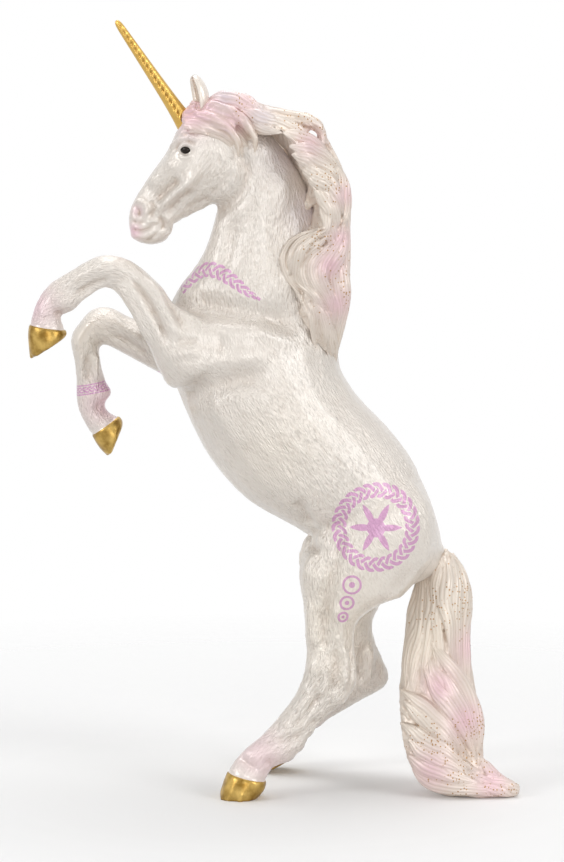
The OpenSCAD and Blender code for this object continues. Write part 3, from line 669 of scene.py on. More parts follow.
class Tree:
    """Short words for building node trees."""

    def __init__(self, tree):
        self.tree = tree

    def add(self, kind, *inputs, **settings):
        node = self.tree.nodes.new(kind)
        for key, value in settings.items():
            setattr(node, key, value)
        for k, value in enumerate(inputs):
            self.feed(node.inputs[k], value)
        return node

    def feed(self, socket, value):
        if value is None:
            return
        if isinstance(value, bpy.types.NodeSocket):
            self.tree.links.new(value, socket)
        elif isinstance(value, bpy.types.Node):
            self.tree.links.new(next(s for s in value.outputs if s.enabled), socket)
        else:
            socket.default_value = value

    def fill(self, node, **values):
        """Feeds a node's inputs by name, with an underscore for each space."""
        for name, value in values.items():
            self.feed(node.inputs[name.replace("_", " ")], value)
        return node

    def math(self, how, *inputs):
        return self.add("ShaderNodeMath", *inputs, operation=how).outputs[0]

    def plus(self, first, second):
        return self.math("ADD", first, second)

    def minus(self, first, second):
        return self.math("SUBTRACT", first, second)

    def times(self, first, second):
        return self.math("MULTIPLY", first, second)

    def over(self, first, second):
        return self.math("DIVIDE", first, second)

    def hypotenuse(self, first, second):
        return self.math("SQRT", self.plus(self.times(first, first), self.times(second, second)))

    def vector(self, how, *inputs):
        node = self.add("ShaderNodeVectorMath", operation=how)
        for socket, value in zip([s for s in node.inputs if s.enabled], inputs):
            self.feed(socket, value)
        return next(s for s in node.outputs if s.enabled)

    def scaled(self, vector, amount):
        node = self.add("ShaderNodeVectorMath", vector, operation="SCALE")
        self.feed(node.inputs["Scale"], amount)
        return node.outputs[0]

    def mix(self, share, first, second):
        node = self.add("ShaderNodeMix", data_type="RGBA")
        for k, value in ((0, share), (6, first), (7, second)):
            self.feed(node.inputs[k], value)
        return node.outputs[2]

    def noise(self, place, **values):
        return self.fill(self.add("ShaderNodeTexNoise", place), **values).outputs[0]

    def own_place(self):
        return self.add("ShaderNodeTexCoord").outputs["Object"]

    def painted(self, name, part="Fac"):
        return self.add("ShaderNodeAttribute", attribute_name=name).outputs[part]

    def named(self, name, kind="FLOAT"):
        node = self.add("GeometryNodeInputNamedAttribute", data_type=kind)
        node.inputs["Name"].default_value = name
        return node.outputs["Attribute"]

    def keep(self, geometry, name, kind, value):
        node = self.add("GeometryNodeStoreNamedAttribute", geometry, data_type=kind, domain="POINT")
        node.inputs["Name"].default_value = name
        self.feed(node.inputs["Value"], value)
        return node.outputs[0]

    def pushed(self, geometry, height):
        """Moves every point of a surface outwards by a height."""
        way = self.scaled(self.add("GeometryNodeInputNormal").outputs[0], height)
        return self.fill(self.add("GeometryNodeSetPosition", geometry), Offset=way).outputs[0]

    def ended(self, geometry, finish):
        """The end of a tree that makes a surface, which gets its finish."""
        real = self.add("GeometryNodeRealizeInstances", geometry)
        self.add("NodeGroupOutput", self.fill(self.add("GeometryNodeSetMaterial", real), Material=finish))
        return self.tree


def new_group(name, kind, inputs, outputs):
    """A node group. Each of its sockets is given as a kind, or as the number that it holds at first."""
    tree = bpy.data.node_groups.new(name, kind)
    for way, sockets in (("INPUT", inputs), ("OUTPUT", outputs)):
        for label, what in sockets.items():
            number = {int: "Int", float: "Float"}.get(type(what))
            made = tree.interface.new_socket(label, in_out=way, socket_type="NodeSocket" + (number or what))
            if number:
                made.default_value = what
    return Tree(tree)


def tube_along(t, source, paths, radius, ways=False):
    """A tube round each path, whose points keep how far along and round it they lie, and its core."""
    even = t.add("GeometryNodeResampleCurve", t.add("GeometryNodeMeshToCurve", source[paths]))
    t.fill(even, Count=source["Steps"])
    factor = t.add("GeometryNodeSplineParameter").outputs["Factor"]
    path = t.keep(even.outputs[0], "along", "FLOAT", factor)
    path = t.keep(path, "core", "FLOAT_VECTOR", t.add("GeometryNodeInputPosition").outputs[0])
    if ways:
        path = t.keep(path, "way", "FLOAT_VECTOR", t.add("GeometryNodeInputTangent").outputs[0])
    circle = t.add("GeometryNodeCurvePrimitiveCircle", mode="RADIUS")
    ring = t.fill(circle, Resolution=source["Sides"], Radius=radius)
    ring = t.keep(ring.outputs[0], "round", "FLOAT", t.add("GeometryNodeSplineParameter").outputs["Factor"])
    return t.fill(t.add("GeometryNodeCurveToMesh"), Curve=path, Profile_Curve=ring, Fill_Caps=True)


# Hair: every lock is a flattened, tapering tube along its own path, with the fine ridges of its strands

# Below 1 the strands are fuller, above 1 thinner
STRAND_SHARPNESS = 0.8


def under_ridge(t, ridge):
    """How far a point lies under the top of its strand: 0 on top, -1 between two strands."""
    return t.minus(t.math("POWER", ridge, STRAND_SHARPNESS), 1.0)


def lock_tree():
    t = new_group("lock_of_hair", "GeometryNodeTree", {
        "Paths": "Geometry", "Steps": 40, "Sides": 48, "Strands": 11, "Flatness": 0.5, "Groove": 0.03,
        "Wander": 0.25, "Twist": 0.2, "Outer Share": 0.55, "Finish": "Material",
    }, {"Locks": "Geometry"})
    source = t.add("NodeGroupInput").outputs
    tube = tube_along(t, source, "Paths", 1.0 * MM, ways=True)

    # Each ring of points is set out again round its core: wide along the surface, flat away from it,
    # and closer together on the outer side, where the strands show.
    round_angle = t.times(t.named("round"), 2 * math.pi)
    angle = t.plus(round_angle, t.times(t.math("COSINE", round_angle), source["Outer Share"]))
    out = t.vector("NORMALIZE", t.named("out", "FLOAT_VECTOR"))
    sideways = t.vector("NORMALIZE", t.vector("CROSS_PRODUCT", t.named("way", "FLOAT_VECTOR"), out))
    wide = t.named("wide")
    reach = t.times(t.math("COSINE", angle), wide)
    rise = t.times(t.times(t.math("SINE", angle), wide), source["Flatness"])
    place = t.vector("ADD", t.named("core", "FLOAT_VECTOR"), t.scaled(sideways, reach))
    place = t.vector("ADD", place, t.scaled(out, rise))
    shaped = t.fill(t.add("GeometryNodeSetPosition", tube.outputs[0]), Position=place)

    # The strands turn slowly round the lock and wander a little on their way
    drift = t.add("ShaderNodeCombineXYZ", t.times(t.named("along"), 2.5), t.named("seed"), 0.0)
    sway = t.times(t.minus(t.noise(drift, Scale=1.0, Detail=1.0), 0.5), source["Wander"])
    slip = t.plus(t.times(t.named("along"), source["Twist"]), sway)
    turned = t.plus(angle, t.times(slip, 2 * math.pi))
    phase = t.times(t.times(turned, source["Strands"]), 0.5)
    ridge = t.math("ABSOLUTE", t.math("COSINE", phase))
    sunk = t.times(under_ridge(t, ridge), source["Groove"])
    carved = t.pushed(shaped.outputs[0], t.times(sunk, wide))
    return t.ended(t.keep(carved, "ridge", "FLOAT", ridge), source["Finish"])


def grown(name, mesh, tree, **values):
    """A mesh passed through a node tree, with values for the tree's named inputs."""
    obj = new_object(name, mesh)
    grow = obj.modifiers.new(tree.name, "NODES")
    grow.node_group = tree
    sockets = {s.name: s.identifier for s in tree.interface.items_tree if s.in_out == "INPUT"}
    for key, value in values.items():
        grow[sockets[key.replace("_", " ")]] = value
    return applied(obj)


# What share of its half width a lock's core stays above the floor, and how far apart two locks' noise lies
CORE_CLEARANCE = 0.55
SEED_STEP = 1.37
# How a lock starts: with a tapered root, or nearly as full as further along
TAPERED_ROOT, FULL_ROOT = -0.12, -0.6
# How often a lock's path is evened out, how deep its tip sinks in, and what share of its width the tip keeps
PATH_ROUNDS, TIP_SINK, TIP_SHARE = 8, 0.3, 0.04


def lock_strands(paths):
    """The bare paths of locks, each a run of (x, y, z, half width, facing x, y, z), as a mesh of edges."""
    mesh = bpy.data.meshes.new("paths")
    rows = np.vstack(paths)
    edges, start = [], 0
    for path in paths:
        edges += [(start + j, start + j + 1) for j in range(len(path) - 1)]
        start += len(path)
    rows[:, 2] = np.maximum(rows[:, 2], rows[:, 3] * CORE_CLEARANCE)
    mesh.from_pydata([tuple(q) for q in rows[:, :3] * MM], edges, [])
    store(mesh, "wide", "FLOAT", rows[:, 3] * MM)
    store(mesh, "out", "FLOAT_VECTOR", rows[:, 4:7])
    seeds = [[k * SEED_STEP] * len(path) for k, path in enumerate(paths)]
    store(mesh, "seed", "FLOAT", np.concatenate(seeds))
    return mesh


def lock_path(spots, facings, half_width, lift, root=TAPERED_ROOT):
    """One lock on a surface, evened out. The further the root is below zero, the fuller the lock starts."""
    spots, facings = smooth_path(spots, 5), smooth_path(facings, 5)
    for _ in range(PATH_ROUNDS):
        spots[1:-1, 1] = (spots[:-2, 1] + spots[1:-1, 1] * 2 + spots[2:, 1]) / 4
        facings[1:-1] = (facings[:-2] + facings[1:-1] * 2 + facings[2:]) / 4
    facings /= np.linalg.norm(facings, axis=1)[:, None]
    t = np.linspace(0, 1, len(spots))
    spots += facings * (lift * (1 - t ** 3) - TIP_SINK * t ** 3)[:, None]
    taper = np.minimum(soft_step(root, 0.3, t), (1.0 - t ** 2.6) ** 0.9 + TIP_SHARE)
    return np.column_stack([spots, half_width * taper, facings])


def lock_paths(tree, locks, side, root=TAPERED_ROOT, sideways=0.0):
    """Lays locks on a surface. Sideways turns their flat faces more to the side than the surface does."""
    paths = []
    for half_width, lift, *places in locks:
        spots, facings = laid_on(tree, places, side, with_normals=True)
        facings[:, 1] += -sideways if side == LEFT else sideways
        paths.append(lock_path(spots, facings, half_width, lift, root))
    return paths


# Each lock down the back of the mane: how far from the middle it lies, its sway and the height of its root
BACK_LOCKS = [
    (-7.6, 0.6, 147.0), (-5.2, 1.2, 151.0), (-2.6, -0.9, 149.0), (0.0, 1.1, 153.0),
    (2.7, 0.8, 148.0), (5.1, -1.2, 152.0), (7.5, -0.6, 146.0),
]
BACK_LOCK_END = 109.0
BACK_LOCK_HALF_WIDTH, BACK_LOCK_LIFT, BACK_LOCK_ROOT = 1.9, -0.55, -0.4
# How each of them spreads from the middle and sways, from its root to its end
BACK_LOCK_SPREAD = np.array([0.8, 1.0, 0.9, 1.05, 0.9, 0.8, 0.45])
BACK_LOCK_WAVE = np.array([0, 1, -0.4, 0.7, -0.8, 0.5, 0])


def back_lock_paths(tree):
    """The locks down the back of the mane, between those of its two sides."""
    paths = []
    for middle, sway, top in BACK_LOCKS:
        heights = np.linspace(top, BACK_LOCK_END, len(BACK_LOCK_WAVE))
        waves = middle * BACK_LOCK_SPREAD + sway * BACK_LOCK_WAVE
        spots, facings = laid_from_behind(tree, list(zip(waves, heights)))
        if len(spots) > 3:
            paths.append(lock_path(spots, facings, BACK_LOCK_HALF_WIDTH, BACK_LOCK_LIFT, BACK_LOCK_ROOT))
    return paths


# Each lock: its widest half width, how far it lies out, and its places on the side view from root to end
MANE_LOCKS = [
    (2.4, 0.0, (206, 101), (222, 100), (238, 101), (254, 108), (268, 117)),
    (2.0, 0.2, (207, 112), (224, 111), (243, 119), (262, 127), (281, 131)),
    (1.7, 0.4, (222, 104), (238, 117), (255, 127), (270, 131), (284, 133)),
    (1.8, 0.4, (232, 99), (245, 101), (256, 109), (266, 118)),
    (1.9, 0.3, (240, 110), (256, 116), (272, 121), (290, 125), (306, 131)),
    (1.8, 0.3, (262, 118), (280, 123), (295, 129), (307, 136), (320, 141)),
    (2.2, 0.2, (283, 133), (300, 138), (315, 143), (329, 151)),
    (1.9, 0.3, (289, 146), (305, 150), (320, 155), (333, 163), (341, 177)),
    (1.8, 0.6, (292, 153), (306, 160), (322, 166), (334, 174), (340, 184)),
    (1.7, 0.4, (298, 163), (310, 171), (325, 178), (336, 187), (343, 201)),
    (1.7, 0.8, (303, 172), (316, 180), (330, 190), (340, 203), (343, 219)),
    (1.6, 0.5, (308, 180), (320, 190), (332, 204), (337, 220), (334, 237)),
    (1.6, 0.8, (314, 190), (324, 202), (331, 216), (334, 233)),
    (1.3, 0.5, (320, 203), (325, 215), (327, 228), (320, 241)),
    (1.8, 0.0, (336, 164), (342, 182), (346, 200), (346, 215), (342, 230)),
    (1.4, 0.5, (322, 228), (306, 234), (293, 243), (286, 255), (286, 268), (292, 281), (302, 292),
     (313, 304), (320, 320), (322, 337)),
    (1.4, 0.7, (326, 230), (311, 240), (300, 252), (296, 266), (300, 280), (311, 292), (321, 305),
     (326, 320), (327, 340)),
    (1.4, 0.8, (332, 232), (318, 243), (307, 256), (303, 270), (308, 284), (318, 296), (326, 310),
     (330, 326)),
    (1.4, 0.6, (336, 238), (325, 249), (315, 260), (312, 272), (317, 286), (327, 300), (332, 315),
     (333, 334)),
    (1.6, 0.7, (343, 222), (339, 238), (330, 252), (322, 264), (321, 276), (327, 290), (333, 305),
     (334, 322), (331, 342)),
    (1.8, 0.3, (345, 232), (343, 248), (336, 262), (332, 276), (336, 292), (339, 310), (336, 330),
     (333, 350)),
    (1.7, 0.0, (343, 250), (340, 265), (343, 280), (345, 296), (343, 312), (340, 330), (337, 348),
     (336, 363)),
    (1.1, 0.5, (291, 285), (301, 297), (309, 312), (312, 328), (314, 342), (320, 357)),
    (1.1, 0.7, (300, 292), (311, 306), (317, 322), (318, 338), (325, 352)),
    (1.1, 0.5, (312, 300), (322, 315), (326, 330), (326, 343), (330, 353)),
    (1.1, 0.4, (328, 318), (332, 335), (335, 350), (337, 365)),
    (1.9, -0.2, (316, 300), (323, 320), (327, 336), (332, 352)),
    (1.4, 0.2, (318, 231), (303, 241), (294, 253), (291, 267), (297, 282)),
    (1.6, 0.0, (322, 220), (331, 231), (333, 245), (325, 258)),
    (1.5, 0.2, (326, 228), (332, 240), (337, 254), (340, 270)),
    (1.4, 0.2, (323, 318), (328, 334), (331, 347), (333, 359)),
]
CREST_LOCK = (1.05, 0.0, (262, 121), (280, 117), (300, 117), (313, 120), (321, 129), (322, 142))
TAIL_LOCKS = [
    (2.3, 0.0, (419, 576), (416, 610), (410, 640), (405, 665), (403, 692)),
    (2.2, 0.2, (425, 570), (424, 605), (420, 640), (414, 670), (410, 702)),
    (2.2, 0.4, (431, 564), (431, 600), (429, 635), (425, 665), (421, 697)),
    (2.2, 0.2, (438, 557), (435, 585), (433, 610), (437, 640), (440, 670), (438, 702)),
    (1.4, 0.9, (441, 551), (438, 575), (436, 597), (441, 612), (449, 626)),
    (2.2, 0.4, (446, 550), (446, 575), (444, 600), (449, 625), (452, 650), (458, 674)),
    (2.0, 0.6, (450, 555), (455, 580), (455, 605), (456, 630), (459, 655), (462, 682)),
    (2.1, 0.2, (452, 553), (460, 575), (463, 600), (462, 630), (464, 660), (466, 692)),
    (2.0, 0.0, (455, 562), (464, 582), (467, 606), (465, 636), (468, 665), (471, 692)),
    (2.0, 0.8, (432, 640), (445, 662), (460, 682), (471, 702), (478, 720), (480, 740), (478, 759)),
    (2.0, 0.6, (425, 668), (437, 690), (450, 710), (462, 728), (471, 745), (478, 764)),
    (1.9, 0.1, (426, 655), (434, 672), (443, 688), (455, 706), (466, 724)),
    (2.0, 0.8, (440, 672), (452, 692), (464, 712), (473, 730), (478, 752)),
    (1.9, 0.5, (402, 690), (416, 701), (430, 712), (445, 726), (458, 742), (470, 759)),
    (1.8, 0.8, (406, 701), (418, 714), (433, 726), (447, 740), (461, 755)),
    (2.1, 0.4, (402, 723), (414, 732), (428, 742), (445, 752), (462, 762), (482, 774)),
    (2.0, 0.7, (410, 740), (421, 750), (438, 760), (456, 768), (478, 778)),
    (2.1, 0.4, (409, 755), (422, 765), (440, 772), (462, 779), (488, 785)),
    (2.0, 0.3, (413, 768), (423, 777), (438, 785), (460, 789), (490, 790), (514, 790)),
    (1.7, 0.3, (479, 757), (487, 768), (497, 777), (508, 783), (515, 788)),
]
TAIL_TIP_LOCKS = [
    (2.0, 0.2, (517, 790), (506, 789), (492, 788), (474, 786)),
    (1.5, 0.3, (513, 786), (502, 783), (488, 780), (470, 775)),
]
FORELOCK_LOCKS = [
    (1.6, -0.1, (216, 116), (230, 125), (240, 136), (246, 150)),
    (1.7, 0.2, (190, 108), (204, 108), (220, 112), (238, 120), (251, 133), (260, 150)),
    (1.6, 0.4, (187, 114), (202, 113), (219, 117), (236, 125), (248, 137), (257, 156)),
    (1.6, 0.5, (185, 120), (201, 119), (219, 123), (235, 132), (246, 144), (254, 157)),
    (1.6, 0.6, (186, 126), (202, 125), (219, 129), (232, 137), (240, 147), (243, 158)),
    (1.0, 0.2, (190, 131), (204, 131), (219, 136), (229, 144), (236, 154)),
]

# The front edge of the mane on the neck, and how deep the mane's core is sunk in front of it
MANE_EDGE = [
    (268, 128), (280, 134), (288, 145), (293, 155), (298, 168), (303, 178), (310, 190), (314, 200),
    (314, 212), (309, 224), (300, 236),
]
MANE_EDGE_DEPTH = 7.0
# How far the mane's locks turn to the side, and the heights where mane and tail are parted
MANE_TURN = 0.9
MANE_CUT, TAIL_CUT = 135.5, 27.0
# How deep the core of each lies in its solid, or out of it below zero, and how deep its strands are carved
MANE_CORE, TAIL_CORE, FORELOCK_CORE = -0.05, -0.1, 0.1
MANE_STRANDS, TAIL_STRANDS, FORELOCK_STRANDS = 0.26, 0.24, 0.12


def core_of(node, depth):
    """A core with the form of a CAD piece, sunk by a depth, for locks to lie on."""
    skin = Skin(one_skin(joined_copy([node]), CORE_GRAIN))
    skin.settle(3)
    skin.p -= skin.n * depth
    return skin


def mane_core(bed):
    """The core of the mane. In front of the mane's edge on the neck it sinks into the neck."""
    skin = core_of("mane", MANE_CORE)
    edge = laid_on(bed, MANE_EDGE)
    edge = edge[np.argsort(edge[:, 2])]
    height = skin.p[:, 2]
    ahead = np.interp(height, edge[:, 2], edge[:, 0]) - skin.p[:, 0]
    above_start = soft_step(edge[0, 2] - 2, edge[0, 2] + 1, height)
    below_end = soft_step(edge[-1, 2] + 2, edge[-1, 2] - 1, height)
    sink = soft_step(-2.5, 1.5, ahead) * (above_start * below_end) * MANE_EDGE_DEPTH
    skin.p[:, 1] -= np.sign(skin.p[:, 1]) * np.minimum(sink, np.abs(skin.p[:, 1]))
    return skin


def moved(locks, across, down):
    return [(w, lift, *[(a + across, d + down) for a, d in places]) for w, lift, *places in locks]


def strand_tree():
    """Carves the strands of the nearest lock into a skin, and keeps how high on a strand each point lies."""
    t = new_group("carved_strands", "GeometryNodeTree", {
        "Skin": "Geometry", "Locks": "Object", "Depth": 0.24 * MM, "Finish": "Material",
    }, {"Skin": "Geometry"})
    source = t.add("NodeGroupInput").outputs
    locks = t.add("GeometryNodeObjectInfo", source["Locks"]).outputs["Geometry"]
    nearest = t.add("GeometryNodeSampleNearestSurface", data_type="FLOAT")
    t.fill(nearest, Mesh=locks, Value=t.named("ridge"))
    kept = t.keep(source["Skin"], "ridge", "FLOAT", nearest.outputs["Value"])
    carved = t.pushed(kept, t.times(under_ridge(t, t.named("ridge")), source["Depth"]))
    return t.ended(carved, source["Finish"])


def moulded_hair(node, core, locks, carving, depth, cut=0.0):
    """One skin round a core and its locks, with the strands of every lock carved into it.

    A skin with too many faces for one piece is parted level at the height of the cut."""
    put_points(core.mesh, core.p)
    strands = new_object("strands", closed(opened(*locks), "strands"))
    skin = Skin(one_skin(closed(opened(core.mesh, strands.data), "clay"), HAIR_GRAIN))
    skin.settle(5)
    skin = Skin(grown("clay", skin.mesh, carving, Locks=strands, Depth=depth * MM, Finish=HAIR))
    bpy.data.objects.remove(strands)
    mesh = skin.mesh
    # Painted shade in the creases between the locks
    store(mesh, "crease_shade", "FLOAT", crease_shade_of(skin))
    store(mesh, "soft_normal", "FLOAT_VECTOR", skin.n)
    paint_hair(mesh)
    above = face_middles(mesh)[:, 2] > cut * MM
    for name, dropped in ((node + "_hair", ~above), (node + "_hair_below", above)):
        if not dropped.all():
            dress(new_object(name, cut_piece(mesh, dropped, name, inset=0.35)), node, HAIR)


def hair():
    tree = lock_tree()
    bed = tree_of(joined_copy(["neck_and_head", "torso", "mane", "tail", "left_hind_leg"]))

    def locks(table, side, root=TAPERED_ROOT, ground=bed, sideways=0.0):
        paths = lock_paths(ground, table, side, root, sideways)
        return grown("locks", lock_strands(paths), tree, Finish=HAIR)

    # The crest lock stands in the middle plane, where it shows both its sides
    crest = lock_paths(bed, [CREST_LOCK], LEFT)[0]
    crest[:, 1] = 0.0
    crest[:, 4:7] = (0.0, -1.0, 0.0)
    crest_lock = grown("crest", lock_strands([crest]), tree, Finish=HAIR, Flatness=1.0, Strands=7)
    back_locks = grown("locks", lock_strands(back_lock_paths(bed)), tree, Finish=HAIR)
    mane = [crest_lock, back_locks, locks(MANE_LOCKS, LEFT, sideways=MANE_TURN)]
    mane += [locks(moved(MANE_LOCKS, 0, 3), RIGHT, sideways=MANE_TURN)]
    carving = strand_tree()
    moulded_hair("mane", mane_core(bed), mane, carving, MANE_STRANDS, cut=MANE_CUT)
    bare_tail = tree_of(joined_copy(["tail"]))
    tail = [locks(TAIL_LOCKS, face, TAPERED_ROOT, bare_tail) for face in (LEFT, FAR_FACE)]
    tail += [locks(TAIL_TIP_LOCKS, face, FULL_ROOT, bare_tail) for face in (LEFT, FAR_FACE)]
    moulded_hair("tail", core_of("tail", TAIL_CORE), tail, carving, TAIL_STRANDS, cut=TAIL_CUT)
    forelock = [locks(FORELOCK_LOCKS, LEFT, FULL_ROOT), locks(moved(FORELOCK_LOCKS, 1, 1), RIGHT, FULL_ROOT)]
    moulded_hair("forelock", core_of("forelock", FORELOCK_CORE), forelock, carving, FORELOCK_STRANDS)


# Horn

HORN_BASE = np.array([-22.2, 0.0, 157.8])
HORN_LEAN = math.radians(34.0)
HORN_LENGTH = 26.6
HORN_SEAT = 2.6


def horn_tree():
    t = new_group("turned_horn", "GeometryNodeTree", {
        "Axis": "Geometry", "Steps": 280, "Sides": 72,
        "Root Radius": 1.82 * MM, "Tip Radius": 0.8 * MM, "Flare": 0.5 * MM,
        "Length": 28.9 * MM, "Spacing": 1.6 * MM, "Fading": 0.4,
        "Notch Length": 0.85 * MM, "Notch Width": 0.3 * MM, "Notch Depth": 0.5 * MM, "Slant": 0.5,
        "Finish": "Material",
    }, {"Horn": "Geometry"})
    source = t.add("NodeGroupInput").outputs
    tube = tube_along(t, source, "Axis", 1.0)

    # The horn tapers, flares at its root and is rounded off at its tip
    along = t.named("along")
    taper = t.times(along, t.minus(source["Tip Radius"], source["Root Radius"]))
    flare = t.times(t.math("POWER", t.minus(1.0, along), 7.0), source["Flare"])
    radius = t.plus(t.plus(source["Root Radius"], taper), flare)
    rounded = t.math("POWER", t.minus(1.0, t.math("POWER", along, 40.0)), 0.5)
    t.fill(tube, Scale=t.times(radius, t.plus(rounded, 0.02)))

    # A row of slanted notches runs down each flank at even spaces, and fades towards the tip
    here = t.add("GeometryNodeInputPosition").outputs[0]
    away = t.vector("NORMALIZE", t.vector("SUBTRACT", here, t.named("core", "FLOAT_VECTOR")))
    side = t.add("ShaderNodeSeparateXYZ", away).outputs[1]
    over = t.vector("DOT_PRODUCT", away, (math.cos(HORN_LEAN), 0.0, math.sin(HORN_LEAN)))
    across = t.times(t.math("ARCTAN2", over, t.math("ABSOLUTE", side)), radius)
    run = t.times(along, source["Length"])
    cell = t.math("FLOOR", t.over(run, source["Spacing"]))
    cosine, sine = t.math("COSINE", source["Slant"]), t.math("SINE", source["Slant"])
    notch = None
    for step in (0.0, 1.0):
        ahead = t.minus(run, t.times(t.plus(cell, step), source["Spacing"]))
        lengthways = t.over(t.plus(t.times(ahead, cosine), t.times(across, sine)), source["Notch Length"])
        sideways = t.over(t.minus(t.times(across, cosine), t.times(ahead, sine)), source["Notch Width"])
        far = t.plus(t.math("POWER", lengthways, 2.0), t.math("POWER", sideways, 2.0))
        dent = t.math("EXPONENT", t.times(far, -1.0))
        notch = dent if notch is None else t.math("MAXIMUM", notch, dent)
    notch = t.times(notch, t.minus(1.0, t.math("POWER", along, 24.0)))
    depth = t.times(source["Notch Depth"], t.minus(1.0, t.times(along, source["Fading"])))
    way = t.scaled(away, t.times(notch, t.times(depth, -1.0)))
    carved = t.fill(t.add("GeometryNodeSetPosition", tube.outputs[0]), Offset=way)
    return t.ended(t.keep(carved, "groove", "FLOAT", notch), source["Finish"])


def horn():
    way = np.array([-math.sin(HORN_LEAN), 0.0, math.cos(HORN_LEAN)])
    axis = bpy.data.meshes.new("axis")
    ends = [HORN_BASE - way * HORN_SEAT * 0.9, HORN_BASE + way * HORN_LENGTH]
    axis.from_pydata([tuple(q * MM) for q in ends], [(0, 1)], [])
    mesh = grown("spiral_horn", axis, horn_tree(), Finish=HORN_GOLD)
    shade_smooth(mesh)
    dress(new_object("spiral_horn", mesh), "horn", HORN_GOLD)


# Eyes and ears

# Where the eye's bead and the bare skin round it have their middles
EYE_PLACE, EYE_SEAT_PLACE = (185.5, 150), (185, 150)
# How deep the bead's middle lies under the skin, and how large the bead is from there
EYE_SINK = 0.3
EYE_HALF_SIZES = (1.42, 1.02, 0.95)


def eyes(skin):
    spot, facing = laid_on(skin.tree, [EYE_PLACE], LEFT, with_normals=True)
    for side, name in ((LEFT, "left_eye"), (RIGHT, "right_eye")):
        flip = np.array([1.0, -side, 1.0])
        bm = bmesh.new()
        bmesh.ops.create_uvsphere(bm, u_segments=32, v_segments=20, radius=1.0)
        turn = Vector(facing[0] * flip).to_track_quat("Z", "Y").to_matrix()
        centre = Vector((spot[0] - facing[0] * EYE_SINK) * flip)
        for v in bm.verts:
            on_bead = Vector([part * half for part, half in zip(v.co, EYE_HALF_SIZES)])
            v.co = (centre + turn @ on_bead) * MM
        bmesh.ops.recalc_face_normals(bm, faces=bm.faces)
        mesh = closed(bm, name + "_bead")
        shade_smooth(mesh)
        dress(new_object(name + "_bead", mesh), name, EYE)


EAR_PLACE = (205, 110)
EAR_FOOT_SHIFT = np.array([-1.0, 1.2, -0.6])
EAR_TIP = np.array([-19.4, -2.6, 167.2])
EAR_HALF_WIDTHS = [1.8, 2.1, 2.35, 2.45, 2.4, 2.25, 2.0, 1.6, 0.9]
EAR_THICKNESS = 1.1
EAR_SLIMNESS, EAR_BOW = 0.92, 0.5
# The way the right ear faces. The left one mirrors it
EAR_FRONT = (-0.92, 0.4, 0.0)
# How far the leaf's back and its hollow reach round its axis to each side, and the points round each
EAR_BACK_REACH, EAR_HOLLOW_REACH = math.radians(118), math.radians(104)
EAR_POINTS = 15


def ears(skin):
    """Each ear is a leaf rolled round its own axis: an outer back, an inner hollow and a rim between them."""
    foot = laid_on(skin.tree, [EAR_PLACE], LEFT)[0]
    for side, name in ((LEFT, "left_ear"), (RIGHT, "right_ear")):
        flip = np.array([1.0, -side, 1.0])
        base, top = Vector((foot + EAR_FOOT_SHIFT) * flip), Vector(EAR_TIP * flip)
        axis = (top - base).normalized()
        front = Vector((EAR_FRONT[0], EAR_FRONT[1] * side, EAR_FRONT[2]))
        front = (front - axis * front.dot(axis)).normalized()
        across = axis.cross(front)
        bm = bmesh.new()
        rows = []
        for k, half in enumerate(EAR_HALF_WIDTHS):
            t = k / (len(EAR_HALF_WIDTHS) - 1)
            centre = base + (top - base) * t - front * EAR_BOW * math.sin(math.pi * t)
            inner = max(half - EAR_THICKNESS * (1 - 0.5 * t), half * 0.35)
            row = [(half, turn * EAR_BACK_REACH) for turn in np.linspace(-1, 1, EAR_POINTS)]
            row += [(inner, turn * EAR_HOLLOW_REACH) for turn in np.linspace(1, -1, EAR_POINTS)]
            rows.append([
                bm.verts.new((centre + (-front * math.cos(a) + across * math.sin(a)) * r * EAR_SLIMNESS) * MM)
                for r, a in row
            ])
        for lower, upper in zip(rows, rows[1:]):
            for k in range(len(lower)):
                j = (k + 1) % len(lower)
                bm.faces.new((lower[k], lower[j], upper[j], upper[k]))
        bm.faces.new(list(reversed(rows[0])))
        bm.faces.new(rows[-1])
        bmesh.ops.recalc_face_normals(bm, faces=bm.faces)
        mesh = subdivided(closed(bm, name))
        shade_smooth(mesh)
        count = len(mesh.vertices)
        store(mesh, "paint", "FLOAT_COLOR", np.tile(HAIR_CREAM, (count, 1)))
        store(mesh, "crease_shade", "FLOAT", np.zeros(count))
        store(mesh, "coat", "FLOAT_VECTOR", np.tile((0.0, 1.0, 0.15), (count, 1)))
        dress(new_object(name + "_leaf", mesh), name, PEARL)

# Paint: colours and marks that are kept point by point

PEARL_WHITE = (0.835, 0.772, 0.705)
HAIR_CREAM = (0.89, 0.81, 0.725)
SOFT_PINK = (0.92, 0.60, 0.70)
SOFT_LILAC = (0.80, 0.72, 0.83)
PALE_PEACH = (0.80, 0.60, 0.50)
WARM_CREAM = (0.83, 0.75, 0.64)
BRIGHT_CREAM = (0.93, 0.855, 0.75)
# Painted shade in hollows, between strokes and strands and in grooves, and paint on marks
PEARL_PAINTED_SHADE = (0.47, 0.345, 0.255, 1.0)
HAIR_PAINTED_SHADE = (0.54, 0.39, 0.27, 1.0)
MARK_VIOLET = (0.66, 0.30, 0.56, 1.0)
SPECK_GOLD = (0.46, 0.24, 0.07, 1.0)
DARK_GOLD, BRIGHT_GOLD = (0.36, 0.20, 0.03), (0.86, 0.58, 0.17)
GROOVE_PAINTED_SHADE = (0.30, 0.15, 0.02, 1.0)
BEAD_BLACK, BEAD_BROWN = (0.004, 0.003, 0.003, 1.0), (0.03, 0.018, 0.012, 1.0)

